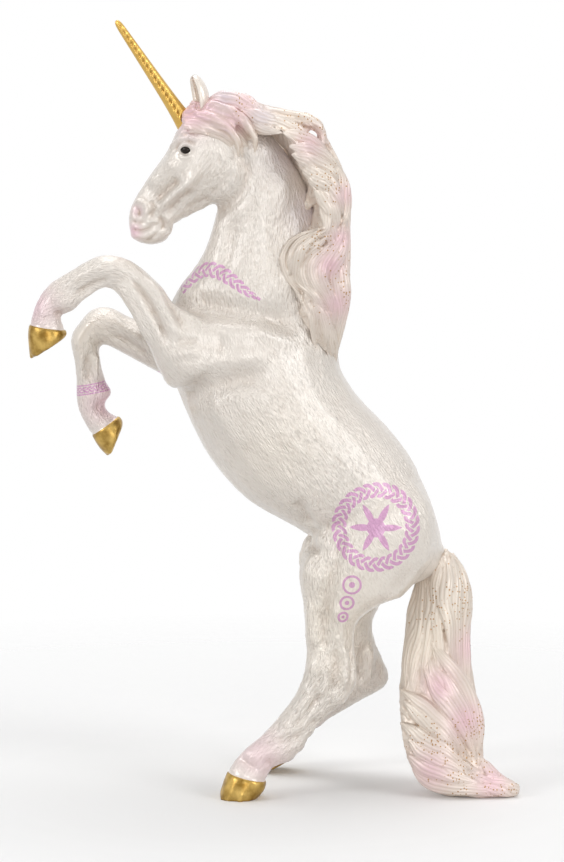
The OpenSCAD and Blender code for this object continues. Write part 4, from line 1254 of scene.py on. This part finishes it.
# Each zone: its middle (x, y or None for both sides, z), its size, its colour and its strength
FLESH_ZONES = [
    ((12.0, None, 42.0), 22.0, BRIGHT_CREAM, 0.8),
    ((0.0, None, 82.0), 14.0, WARM_CREAM, 0.4),
    ((-43.0, None, 104.0), 8.0, WARM_CREAM, 0.4),
    ((-55.0, -8.0, 114.0), 7.0, SOFT_PINK, 0.75),
    ((-40.5, 8.0, 90.0), 7.0, SOFT_PINK, 0.8),
    ((-3.5, -15.0, 10.0), 8.0, SOFT_PINK, 0.6),
    ((4.0, 15.0, 14.0), 8.0, SOFT_PINK, 0.6),
    ((-33.2, None, 131.2), 2.6, SOFT_PINK, 0.8),
    ((-32.4, None, 136.0), 2.0, SOFT_PINK, 0.5),
    ((-20.0, None, 158.0), 6.0, SOFT_PINK, 0.8),
    ((4.0, None, 150.0), 9.0, SOFT_LILAC, 0.45),
    ((8.0, None, 136.0), 7.0, SOFT_LILAC, 0.5),
    ((-8.0, None, 160.0), 6.0, SOFT_LILAC, 0.4),
]
HAIR_ZONES = [
    ((36.0, None, 34.0), 17.0, WARM_CREAM, 0.8),
    ((-16.0, None, 160.0), 6.0, SOFT_PINK, 0.8),
    ((-20.0, None, 158.5), 4.5, SOFT_PINK, 0.95),
    ((-10.0, None, 157.0), 4.5, SOFT_PINK, 0.7),
    ((-12.0, None, 162.5), 4.0, SOFT_LILAC, 0.6),
    ((-7.0, None, 161.5), 5.0, SOFT_PINK, 0.6),
    ((-3.0, None, 158.0), 4.0, SOFT_LILAC, 0.5),
    ((8.0, None, 152.0), 5.0, SOFT_PINK, 0.55),
    ((16.0, None, 140.0), 4.0, SOFT_PINK, 0.6),
    ((12.5, None, 124.0), 5.0, SOFT_PINK, 0.85),
    ((15.0, None, 130.0), 4.0, SOFT_PINK, 0.75),
    ((14.0, None, 115.0), 5.5, SOFT_PINK, 0.7),
    ((38.0, None, 26.0), 6.0, SOFT_PINK, 0.8),
    ((44.0, None, 18.0), 6.5, SOFT_PINK, 0.85),
    ((45.5, None, 34.0), 6.0, SOFT_PINK, 0.7),
    ((36.0, None, 7.0), 7.0, SOFT_PINK, 0.7),
    ((50.0, None, 4.0), 6.0, SOFT_PINK, 0.8),
    ((44.0, None, 11.0), 5.0, PALE_PEACH, 0.4),
]
SPECK_ZONES = [
    ((-7.0, None, 161.0), 4.0, 0.8),
    ((7.0, None, 157.0), 6.0, 1.0),
    ((13.0, None, 143.0), 5.0, 1.0),
    ((10.0, None, 129.0), 5.0, 1.0),
    ((16.0, None, 120.0), 8.0, 0.5),
    ((37.0, None, 42.0), 5.0, 1.0),
    ((44.0, None, 45.0), 8.0, 0.8),
    ((47.0, None, 16.0), 6.0, 1.0),
    ((36.0, None, 14.0), 6.0, 1.0),
    ((44.0, None, 7.0), 7.0, 1.0),
    ((52.0, None, 2.0), 6.0, 1.0),
]


def in_zone(points, middle, size):
    """How much each point is in a soft round zone. With None for y the zone goes through both sides."""
    d = points - np.array([0.0 if c is None else c for c in middle])
    if middle[1] is None:
        d[:, 1] = 0.0
    return np.exp(-2.0 * (np.linalg.norm(d, axis=1) / size) ** 2)


def airbrushed(points, ground, zones):
    paint = np.tile(np.array(ground), (len(points), 1))
    for middle, size, colour, strength in zones:
        cover = (in_zone(points, middle, size) * strength)[:, None]
        paint = paint * (1 - cover) + np.array(colour) * cover
    return paint


# How often the painted crease shade is evened out with what lies round it, and how strongly it counts
CREASE_SHADE_ROUNDS, CREASE_SHADE_STRENGTH = 6, 1.6


def crease_shade_of(skin):
    """How sunk each point of a skin lies between its neighbours, from 0 on open faces to 1 in a crease. It is
    the mask for the painted shade in creases.
    """
    first, second = skin.edges[:, 0], skin.edges[:, 1]
    count = neighbour_count(skin.p, skin.edges)
    length = np.sum((skin.p[first] - skin.p[second]) ** 2, 1)
    square = (np.bincount(first, length, len(skin.p)) + np.bincount(second, length, len(skin.p))) / count
    inward = neighbour_mean(skin.p, skin.edges, count) - skin.p
    bend = np.einsum("ij,ij->i", inward, skin.n) / np.maximum(square, 1e-6)
    bend = bend[:, None]
    for _ in range(CREASE_SHADE_ROUNDS):
        bend = neighbour_mean(bend, skin.edges, count)
    return np.clip(bend[:, 0] * CREASE_SHADE_STRENGTH, 0, 1)


# How the coat lies: places on the side view, the lean of the strokes there, and how deep they are cut
COAT_LIE = [
    ((150, 190), 55, 0.7), ((160, 165), 60, 0.8), ((185, 165), 60, 0.4), ((155, 200), 50, 1.1),
    ((215, 175), 70, 1.3), ((235, 150), 110, 1.0), ((235, 185), 75, 1.3), ((145, 225), 40, 0.3),
    ((235, 210), 75, 1.1), ((255, 180), 95, 1.2), ((285, 190), 100, 0.9), ((225, 250), 80, 1.0),
    ((265, 250), 92, 1.1), ((200, 300), 95, 1.5), ((240, 305), 95, 1.3), ((230, 335), 100, 0.5),
    ((290, 320), 100, 1.1), ((175, 345), 120, 0.9), ((140, 285), 135, 0.9), ((100, 275), 5, 1.0),
    ((60, 295), 45, 1.3), ((90, 360), 90, 1.2), ((110, 340), 150, 1.3), ((205, 395), 110, 1.5),
    ((270, 380), 115, 1.0), ((320, 380), 120, 1.0), ((235, 430), 125, 1.2), ((250, 460), 130, 1.0),
    ((310, 460), 125, 1.2), ((370, 430), 125, 0.9), ((350, 475), 120, 1.4), ((310, 505), 105, 1.6),
    ((330, 540), 95, 1.6), ((325, 585), 90, 1.6), ((380, 500), 130, 0.9), ((400, 550), 120, 0.7),
    ((360, 600), 100, 0.9), ((325, 645), 85, 1.6), ((325, 690), 60, 1.8), ((285, 735), 48, 1.6),
    ((250, 770), 50, 0.6), ((375, 680), 80, 1.7), ((440, 600), 90, 0.5),
]


def coat_lie(skin):
    """For every point the doubled angle of the coat's strokes, as cosine and sine, and their depth."""
    spots = laid_on(skin.tree, [place for place, _, _ in COAT_LIE])
    lean = np.radians([lean for _, lean, _ in COAT_LIE])
    depth = np.array([depth for _, _, depth in COAT_LIE])
    total, out = np.zeros(len(skin.p)), np.zeros((len(skin.p), 3))
    # The nearer a place of the table is, the more it counts
    for k in range(len(spots)):
        gap = np.hypot(skin.p[:, 0] - spots[k, 0], skin.p[:, 2] - spots[k, 2])
        weight = 1.0 / (gap + 1.5) ** 3.5
        total += weight
        out += weight[:, None] * np.array([math.cos(2 * lean[k]), math.sin(2 * lean[k]), depth[k]])
    out /= total[:, None]
    # The hooves and the skin round the eyes carry no strokes
    for hoof, leg in HOOVES.items():
        centre, normal = seam_between(leg, hoof)
        d = skin.p - centre
        bare = soft_step(-1.5, -0.2, d @ normal) * (np.linalg.norm(d, axis=1) < HOOF_REACH)
        out[:, 2] *= 1.0 - bare
    eye = laid_on(skin.tree, [EYE_SEAT_PLACE])[0]
    for spot in (eye, mirrored(eye)):
        out[:, 2] *= soft_step(1.2, 3.5, np.linalg.norm(skin.p - spot, axis=1))
    return out


def paint_flesh(skin):
    store(skin.mesh, "paint", "FLOAT_COLOR", airbrushed(skin.p, PEARL_WHITE, FLESH_ZONES))
    # Painted shade in the creases of the flesh
    store(skin.mesh, "crease_shade", "FLOAT", crease_shade_of(skin))
    place, across = along_band(skin)
    close = np.abs(across) < CHEST_BAND_REACH
    store(skin.mesh, "band", "FLOAT_VECTOR", np.column_stack([place, across, close]))


def paint_hair(mesh):
    p = points_of(mesh)
    store(mesh, "paint", "FLOAT_COLOR", airbrushed(p, HAIR_CREAM, HAIR_ZONES))
    specks = np.zeros(len(p))
    for middle, size, strength in SPECK_ZONES:
        specks = np.maximum(specks, in_zone(p, middle, size) * strength)
    store(mesh, "specks", "FLOAT", specks)


# The middle line of the painted band on the chest, and how far from it paint may lie
CHEST_BAND_REACH = 4.0
CHEST_BAND = [(181, 289), (191, 278), (204, 270), (219, 272), (233, 281), (247, 292), (262, 301)]


def along_band(skin):
    """Distance along the painted band on the left of the chest, and across it. Far away both are large."""
    line = smooth_path(laid_on(skin.tree, CHEST_BAND), 6)
    place, across = np.full(len(skin.p), -50.0), np.full(len(skin.p), 50.0)
    near = np.nonzero((skin.p[:, 1] < 0) & (np.abs(skin.p - line.mean(0)).max(1) < 18))[0]
    q = skin.p[near]
    best = np.full(len(q), 1e9)
    run = np.concatenate([[0], np.cumsum(np.linalg.norm(np.diff(line, axis=0), axis=1))])
    for k in range(len(line) - 1):
        a, b = line[k], line[k + 1]
        step = (b - a) / np.linalg.norm(b - a)
        t = (q - a) @ step
        if k > 0:
            t = np.maximum(t, 0)
        if k < len(line) - 2:
            t = np.minimum(t, np.linalg.norm(b - a))
        off = q - a - t[:, None] * step
        dist = np.linalg.norm(off, axis=1)
        better = dist < best
        best[better] = dist[better]
        side = np.sign(np.einsum("ij,ij->i", np.cross(step, off[better]), skin.n[near][better]))
        place[near[better]] = run[k] + t[better]
        across[near[better]] = side * dist[better]
    return place, across


# Finishes

def new_material(name):
    mat = bpy.data.materials.new(name)
    mat.use_nodes = True
    mat.node_tree.nodes.clear()
    t = Tree(mat.node_tree)
    shader = t.add("ShaderNodeBsdfPrincipled")
    t.add("ShaderNodeOutputMaterial", shader)
    return mat, t, shader


# Length and width of the coat's strokes: those that are carved, and those in the paint
BROAD_STROKE, FINE_STROKE = (2.4, 0.8), (1.5, 0.44)


def coat_strokes(t, place, lie, length, width):
    """Strokes that run along the coat, about -0.3 to 0.3 high.

    Strokes of six leanings are blended, and the nearer a leaning is to the coat's own the more it counts."""
    split = t.add("ShaderNodeSeparateXYZ", lie)
    way = t.vector("NORMALIZE", t.add("ShaderNodeCombineXYZ", split.outputs[0], split.outputs[1], 0.0))
    total, height = None, None
    for k in range(6):
        lean = math.radians(30 * k)
        turned = t.fill(t.add("ShaderNodeVectorRotate", place, rotation_type="Y_AXIS"), Angle=lean)
        squeezed = t.vector("DIVIDE", turned, (length * MM, width * MM, width * MM))
        noise = t.noise(squeezed, Scale=1.0, Detail=1.5, Roughness=0.55)
        toward = t.vector("DOT_PRODUCT", way, (math.cos(2 * lean), math.sin(2 * lean), 0.0))
        weight = t.math("POWER", t.math("MAXIMUM", toward, 0.0), 3.0)
        share = t.times(weight, t.minus(noise, 0.5))
        total = weight if total is None else t.plus(total, weight)
        height = share if height is None else t.plus(height, share)
    return t.times(t.over(height, t.plus(total, 0.001)), split.outputs[2])


def engraving_tree():
    """Carves the coat's broad strokes into a skin."""
    t = new_group("engraved_coat", "GeometryNodeTree", {
        "Skin": "Geometry", "Depth": 0.5 * MM, "Finish": "Material",
    }, {"Skin": "Geometry"})
    source = t.add("NodeGroupInput").outputs
    place = t.add("GeometryNodeInputPosition").outputs[0]
    height = coat_strokes(t, place, t.named("coat", "FLOAT_VECTOR"), *BROAD_STROKE)
    return t.ended(t.pushed(source["Skin"], t.times(height, source["Depth"])), source["Finish"])


def coat_group():
    """The coat's finer strokes, for the paint."""
    t = new_group("fine_coat", "ShaderNodeTree", {}, {"Height": "Float"})
    t.add("NodeGroupOutput", coat_strokes(t, t.own_place(), t.painted("coat", "Vector"), *FINE_STROKE))
    return t.tree


def plait_group():
    """Three painted strands that pass over and under each other along a band: 1 on a strand, 0 off it."""
    names = ("Turns", "Across", "Sway", "Half Width", "Gap", "Turns Per Length")
    t = new_group("painted_plait", "ShaderNodeTree", dict.fromkeys(names, "Float"), {"Paint": "Float"})
    source = t.add("NodeGroupInput").outputs
    strands = []
    for k in range(3):
        angle = t.times(t.plus(source["Turns"], k / 3), 2 * math.pi)
        centre = t.times(t.math("SINE", angle), source["Sway"])
        rate = t.times(t.times(source["Sway"], source["Turns Per Length"]), 2 * math.pi)
        slope = t.times(t.math("COSINE", angle), rate)
        stretch = t.math("SQRT", t.plus(1.0, t.times(slope, slope)))
        gap = t.over(t.math("ABSOLUTE", t.minus(source["Across"], centre)), stretch)
        high = t.math("SINE", t.times(angle, 2.0))
        strands.append((gap, high))
    paint = None
    for k, (gap, high) in enumerate(strands):
        on = t.math("LESS_THAN", gap, source["Half Width"])
        for other_gap, other_high in strands[:k] + strands[k + 1:]:
            under = t.math("GREATER_THAN", other_high, high)
            covered = t.math("LESS_THAN", other_gap, t.plus(source["Half Width"], source["Gap"]))
            on = t.times(on, t.minus(1.0, t.times(under, covered)))
        paint = on if paint is None else t.math("MAXIMUM", paint, on)
    t.add("NodeGroupOutput", paint)
    return t.tree


# How strongly painted shade darkens the paint in hollows and between strokes, how much soft clouds vary its
# tone, and how well marks cover it
CREASE_SHADE_WEIGHT, STROKE_SHADE_WEIGHT, CLOUD_TONE_WEIGHT = 0.85, 0.9, 0.14
MARK_COVER = 0.85


def pearl(name, paint_marks=None):
    """Pearl-white paint over moulded strokes, with warm painted shade in the hollows and between the fine
    strokes, and soft gloss.
    """
    mat, t, shader = new_material(name)
    place = t.own_place()
    cloud = t.noise(place, Scale=160.0, Detail=3.0)
    strokes = t.add("ShaderNodeGroup", node_tree=COAT).outputs[0]
    # Painted shade where the fine strokes dip and in the creases, with soft clouds of tone
    shade_between_strokes = t.math("MAXIMUM", t.times(strokes, -STROKE_SHADE_WEIGHT), 0.0)
    shade_and_tone = t.plus(t.times(t.painted("crease_shade"), CREASE_SHADE_WEIGHT), shade_between_strokes)
    shade_and_tone = t.plus(shade_and_tone, t.times(t.minus(cloud, 0.5), CLOUD_TONE_WEIGHT))
    shade_and_tone = t.math("MINIMUM", t.math("MAXIMUM", shade_and_tone, 0.0), 1.0)
    colour = t.mix(shade_and_tone, t.painted("paint", "Color"), PEARL_PAINTED_SHADE)
    if paint_marks:
        colour = t.mix(t.times(paint_marks(t, place), MARK_COVER), colour, MARK_VIOLET)
    bump = t.fill(t.add("ShaderNodeBump"), Strength=1.0, Distance=0.55 * MM, Height=strokes)
    gloss = t.plus(0.3, t.times(cloud, 0.1))
    t.fill(shader, Base_Color=colour, Roughness=gloss, Metallic=0.2, Normal=bump)
    t.fill(shader, Coat_Weight=0.6, Coat_Roughness=0.21)
    return mat


# How wide apart the specks can lie, how large they are in that, and what share of them is there at most
SPECK_SPACE, SPECK_SIZE, SPECK_SHARE, SPECK_COVER = 0.62, 0.33, 0.75, 0.9


def tinted_hair():
    """Tinted paint, with painted shade between the strands and in the creases, and small round specks of gold
    in some places.
    """
    mat, t, shader = new_material("tinted_hair")
    place = t.own_place()
    cloud = t.noise(place, Scale=260.0, Detail=2.0)
    # Painted shade between the strands and in the creases between locks
    sunk = t.plus(t.times(t.minus(1.0, t.painted("ridge")), 0.36), t.times(t.painted("crease_shade"), 0.3))
    shade_and_tone = t.math("MINIMUM", t.plus(sunk, t.times(cloud, 0.1)), 1.0)
    colour = t.mix(shade_and_tone, t.painted("paint", "Color"), HAIR_PAINTED_SHADE)
    dots = t.fill(t.add("ShaderNodeTexVoronoi", place), Scale=1 / (SPECK_SPACE * MM))
    small = t.math("LESS_THAN", dots.outputs["Distance"], SPECK_SIZE)
    chosen = t.add("ShaderNodeSeparateColor", dots.outputs["Color"]).outputs[0]
    there = t.times(small, t.math("LESS_THAN", chosen, t.times(t.painted("specks"), SPECK_SHARE)))
    colour = t.mix(t.times(there, SPECK_COVER), colour, SPECK_GOLD)
    t.fill(shader, Base_Color=colour, Roughness=0.36, Metallic=0.15, Coat_Weight=0.25, Coat_Roughness=0.25)
    return mat


def gold_paint(name, tone, mottling, grain_strength):
    """Gold paint of a tone, mottled and grained, with brown painted shade in the grooves."""
    mat, t, shader = new_material(name)
    place = t.own_place()
    cloud = t.noise(place, Scale=420.0, Detail=4.0)
    dark, bright = [tuple(part * tone for part in gold) + (1.0,) for gold in (DARK_GOLD, BRIGHT_GOLD)]
    colour = t.mix(t.plus(t.times(t.minus(cloud, 0.5), mottling), 0.5), dark, bright)
    # Painted shade in the horn's notches
    colour = t.mix(t.times(t.painted("groove"), 0.75), colour, GROOVE_PAINTED_SHADE)
    grain = t.noise(place, Scale=900.0)
    bump = t.fill(t.add("ShaderNodeBump"), Strength=grain_strength, Distance=0.1 * MM, Height=grain)
    gloss = t.plus(0.26, t.times(cloud, 0.14))
    t.fill(shader, Base_Color=colour, Metallic=0.75, Roughness=gloss, Normal=bump)
    return mat


def eye_black():
    mat, t, shader = new_material("eye_black")
    cloud = t.noise(t.own_place(), Scale=900.0)
    colour = t.mix(cloud, BEAD_BLACK, BEAD_BROWN)
    t.fill(shader, Base_Color=colour, Roughness=0.12, Specular_IOR_Level=0.2)
    return mat


# Painted marks, all of common interlace: a plaited ring with a rosette, a plaited band and a plaited cuff

# The space left on both sides of a strand where it passes over another
STRAND_SPACE = 0.28
RING_MIDDLE = (376, 528)
RING_RADIUS, RING_SWAY, RING_LINE, RING_TURNS = 8.5, 1.35, 0.4, 9
ROSETTE = 6.3
# Smaller rings below the haunch's: their places and radii, and how wide their lines are painted
TRAIL = [((352, 585), 2.0), ((347, 603), 1.5), ((343, 617), 1.05)]
TRAIL_LINE = 0.27
CHEST_BAND_LENGTH, CHEST_BAND_TURN, CHEST_BAND_SWAY, CHEST_BAND_LINE = 24.0, 6.2, 1.7, 0.36
CUFF_MIDDLE = (-43.2, 8.1, 93.5)
CUFF_SLOPE, CUFF_TURNS, CUFF_SWAY, CUFF_LINE, CUFF_SPACE = -0.18, 5, 0.55, 0.2, 0.12
CUFF_TURNS_PER_LENGTH = 0.25
CUFF_RIM_HEIGHT, CUFF_RIM_LINE = 1.05, 0.16


def plaited(t, turns, across, sway, half_width, space, turns_per_length):
    """A painted plait, from how many turns along it and how far across it a point lies."""
    plait = t.add("ShaderNodeGroup", node_tree=PLAIT)
    t.fill(plait, Turns=turns, Across=across, Sway=sway, Half_Width=half_width)
    return t.fill(plait, Gap=space, Turns_Per_Length=turns_per_length).outputs[0]


def on_haunch(t, place):
    """A plaited ring round a rosette of six petals, and a trail of small rings with dots."""
    split = t.add("ShaderNodeSeparateXYZ", place)

    def from_place(on_view):
        spot = laid_on(SKIN.tree, [on_view])[0]
        x = t.minus(t.over(split.outputs[0], MM), spot[0])
        z = t.minus(t.over(split.outputs[2], MM), spot[2])
        return x, z, t.hypotenuse(x, z)

    x, z, far = from_place(RING_MIDDLE)
    angle = t.math("ARCTAN2", z, x)
    turns = t.times(angle, RING_TURNS / (2 * math.pi))
    per_length = RING_TURNS / (2 * math.pi * RING_RADIUS)
    ring = plaited(t, turns, t.minus(far, RING_RADIUS), RING_SWAY, RING_LINE, STRAND_SPACE, per_length)

    # A petal is where two circles overlap that both nearly touch the rosette's middle
    sixth = math.pi / 3
    turned = t.plus(angle, math.pi / 6 + 2 * math.pi)
    folded = t.math("ABSOLUTE", t.minus(t.math("MODULO", turned, sixth), sixth / 2))
    along = t.minus(t.times(far, t.math("COSINE", folded)), ROSETTE * 0.5)
    across = t.plus(t.times(far, t.math("SINE", folded)), ROSETTE * 0.866)
    petal = t.math("LESS_THAN", t.hypotenuse(along, across), ROSETTE * 0.985)
    disc = t.math("LESS_THAN", far, ROSETTE * 0.34)
    mark = t.math("MAXIMUM", ring, t.math("MAXIMUM", petal, disc))

    for on_view, radius in TRAIL:
        gap = from_place(on_view)[2]
        line = t.math("LESS_THAN", t.math("ABSOLUTE", t.minus(gap, radius)), TRAIL_LINE)
        dot = t.math("LESS_THAN", gap, radius * 0.35)
        mark = t.math("MAXIMUM", mark, t.math("MAXIMUM", line, dot))
    left = t.math("LESS_THAN", split.outputs[1], -4 * MM)
    return t.times(mark, left)


def on_chest(t):
    """A plaited band that narrows to its end."""
    band = t.add("ShaderNodeSeparateXYZ", t.painted("band", "Vector"))
    along, across, close = band.outputs
    narrowing = t.minus(1.0, t.math("POWER", t.over(along, CHEST_BAND_LENGTH), 3.0))
    sway = t.times(narrowing, CHEST_BAND_SWAY)
    turns = t.over(along, CHEST_BAND_TURN)
    plait = plaited(t, turns, across, sway, CHEST_BAND_LINE, STRAND_SPACE, 1 / CHEST_BAND_TURN)
    begun = t.math("GREATER_THAN", along, 0.0)
    inside = t.times(begun, t.math("LESS_THAN", along, CHEST_BAND_LENGTH))
    return t.times(plait, t.times(inside, t.math("GREATER_THAN", close, 0.5)))


def on_cuff(t, place):
    """A plaited cuff between two rims."""
    split = t.add("ShaderNodeSeparateXYZ", place)
    x, y, z = [t.minus(t.over(axis, MM), middle) for axis, middle in zip(split.outputs, CUFF_MIDDLE)]
    height = t.plus(z, t.times(x, CUFF_SLOPE))
    turns = t.times(t.math("ARCTAN2", y, x), CUFF_TURNS / (2 * math.pi))
    plait = plaited(t, turns, height, CUFF_SWAY, CUFF_LINE, CUFF_SPACE, CUFF_TURNS_PER_LENGTH)
    from_rim = t.math("ABSOLUTE", t.minus(t.math("ABSOLUTE", height), CUFF_RIM_HEIGHT))
    return t.math("MAXIMUM", plait, t.math("LESS_THAN", from_rim, CUFF_RIM_LINE))


# Stage, lamps and camera

# From where to where, in metres, the floor fades away
FLOOR_FADE = (0.065, 0.24)
FLOOR_GLOW = 0.06
# The light that surfaces get from all round, and what a wide white table adds from below
ALL_ROUND, FROM_TABLE = 0.2, 0.3


def pale_floor():
    """A pale sheet that keeps the shadows and fades into the white behind it."""
    bpy.ops.mesh.primitive_circle_add(vertices=64, radius=1.2, fill_type="NGON", location=(0, 0, 0))
    floor = bpy.context.object
    floor.name = "floor"
    mat, t, shader = new_material("pale_floor")
    glow = t.times(t.add("ShaderNodeLightPath").outputs["Is Camera Ray"], FLOOR_GLOW)
    t.fill(shader, Base_Color=(0.95, 0.95, 0.95, 1), Roughness=0.7)
    t.fill(shader, Emission_Color=(1, 1, 1, 1), Emission_Strength=glow)
    far = t.vector("LENGTH", t.own_place())
    fade = t.add("ShaderNodeMapRange", far, *FLOOR_FADE, 0.0, 1.0)
    mixed = t.add("ShaderNodeMixShader", fade, shader, t.add("ShaderNodeBsdfTransparent"))
    out = next(n for n in mat.node_tree.nodes if n.type == "OUTPUT_MATERIAL")
    t.feed(out.inputs[0], mixed)
    floor.data.materials.append(mat)


def lamp(name, place, aim, size, power):
    data = bpy.data.lights.new(name, "AREA")
    data.shape = "ELLIPSE"
    data.size, data.size_y = size
    data.energy = power
    obj = bpy.data.objects.new(name, data)
    bpy.context.scene.collection.objects.link(obj)
    obj.location = place
    obj.rotation_euler = (Vector(aim) - Vector(place)).to_track_quat("-Z", "Y").to_euler()


def camera():
    data = bpy.data.cameras.new("camera")
    data.sensor_width = 24.0
    data.lens = data.sensor_width * VIEW_REACH / VIEW_HEIGHT
    obj = bpy.data.objects.new("camera", data)
    bpy.context.scene.collection.objects.link(obj)
    obj.location = CAMERA_PLACE * MM
    obj.rotation_euler = (math.radians(90) - CAMERA_DIP, 0, 0)
    bpy.context.scene.camera = obj


def studio():
    """White all round for the camera, for gloss and for glass, and a softer light on the surfaces."""
    scene = bpy.context.scene
    scene.view_settings.view_transform = "Standard"
    scene.world = bpy.data.worlds.new("studio")
    scene.world.use_nodes = True
    scene.world.node_tree.nodes.clear()
    t = Tree(scene.world.node_tree)
    ray = t.add("ShaderNodeLightPath").outputs
    through = t.math("MAXIMUM", ray["Is Glossy Ray"], ray["Is Transmission Ray"])
    seen = t.math("MAXIMUM", ray["Is Camera Ray"], through)
    height = t.add("ShaderNodeSeparateXYZ", t.add("ShaderNodeTexCoord").outputs["Generated"]).outputs[2]
    from_table = t.times(t.math("LESS_THAN", height, 0.0), FROM_TABLE)
    strength = t.math("MINIMUM", t.plus(t.plus(ALL_ROUND, from_table), seen), 1.0)
    t.add("ShaderNodeOutputWorld", t.add("ShaderNodeBackground", (1, 1, 1, 1), strength))
    lamp("top_light", (0.0, 0.2, 0.9), (0, 0, 0.06), (0.9, 0.8), 4.5)
    lamp("left_light", (-0.98, -0.6, 0.6), (0, 0, 0.09), (0.5, 0.5), 3.9)
    lamp("right_light", (0.85, -0.62, 0.6), (0, 0, 0.09), (0.5, 0.5), 3.7)
    lamp("front_light", (0.1, -1.2, 0.3), (0, 0, 0.06), (0.5, 0.5), 2.3)


def dress(piece, node, finish):
    piece.data.materials.clear()
    piece.data.materials.append(finish)
    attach(piece, "root")
    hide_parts(node)


COAT = coat_group()
PLAIT = plait_group()
PEARL = pearl("pearl_white")
SKIN = flesh_skin()
PEARL_MARKS = pearl("pearl_with_marks", lambda t, place: t.math("MAXIMUM", on_haunch(t, place), on_chest(t)))
PEARL_CUFF = pearl("pearl_with_cuff", on_cuff)
MARKED = {
    "torso": PEARL_MARKS,
    "neck_and_head": PEARL_MARKS,
    "left_hind_leg": PEARL_MARKS,
    "right_foreleg": PEARL_CUFF,
}
HAIR = tinted_hair()
GOLD = gold_paint("gold_paint", 0.74, 2.8, 0.4)
HORN_GOLD = gold_paint("smooth_gold_paint", 1.05, 0.5, 0.08)
EYE = eye_black()

paint_flesh(SKIN)
for name, mesh in cut_into_pieces(SKIN).items():
    slot, finish = ("gold_paint", GOLD) if name in HOOVES else ("pearl_coat", MARKED.get(name, PEARL))
    dress(new_object(name + "_skin", mesh), name, finish)
horn()
eyes(SKIN)
ears(SKIN)
hair()
pale_floor()
camera()
studio()
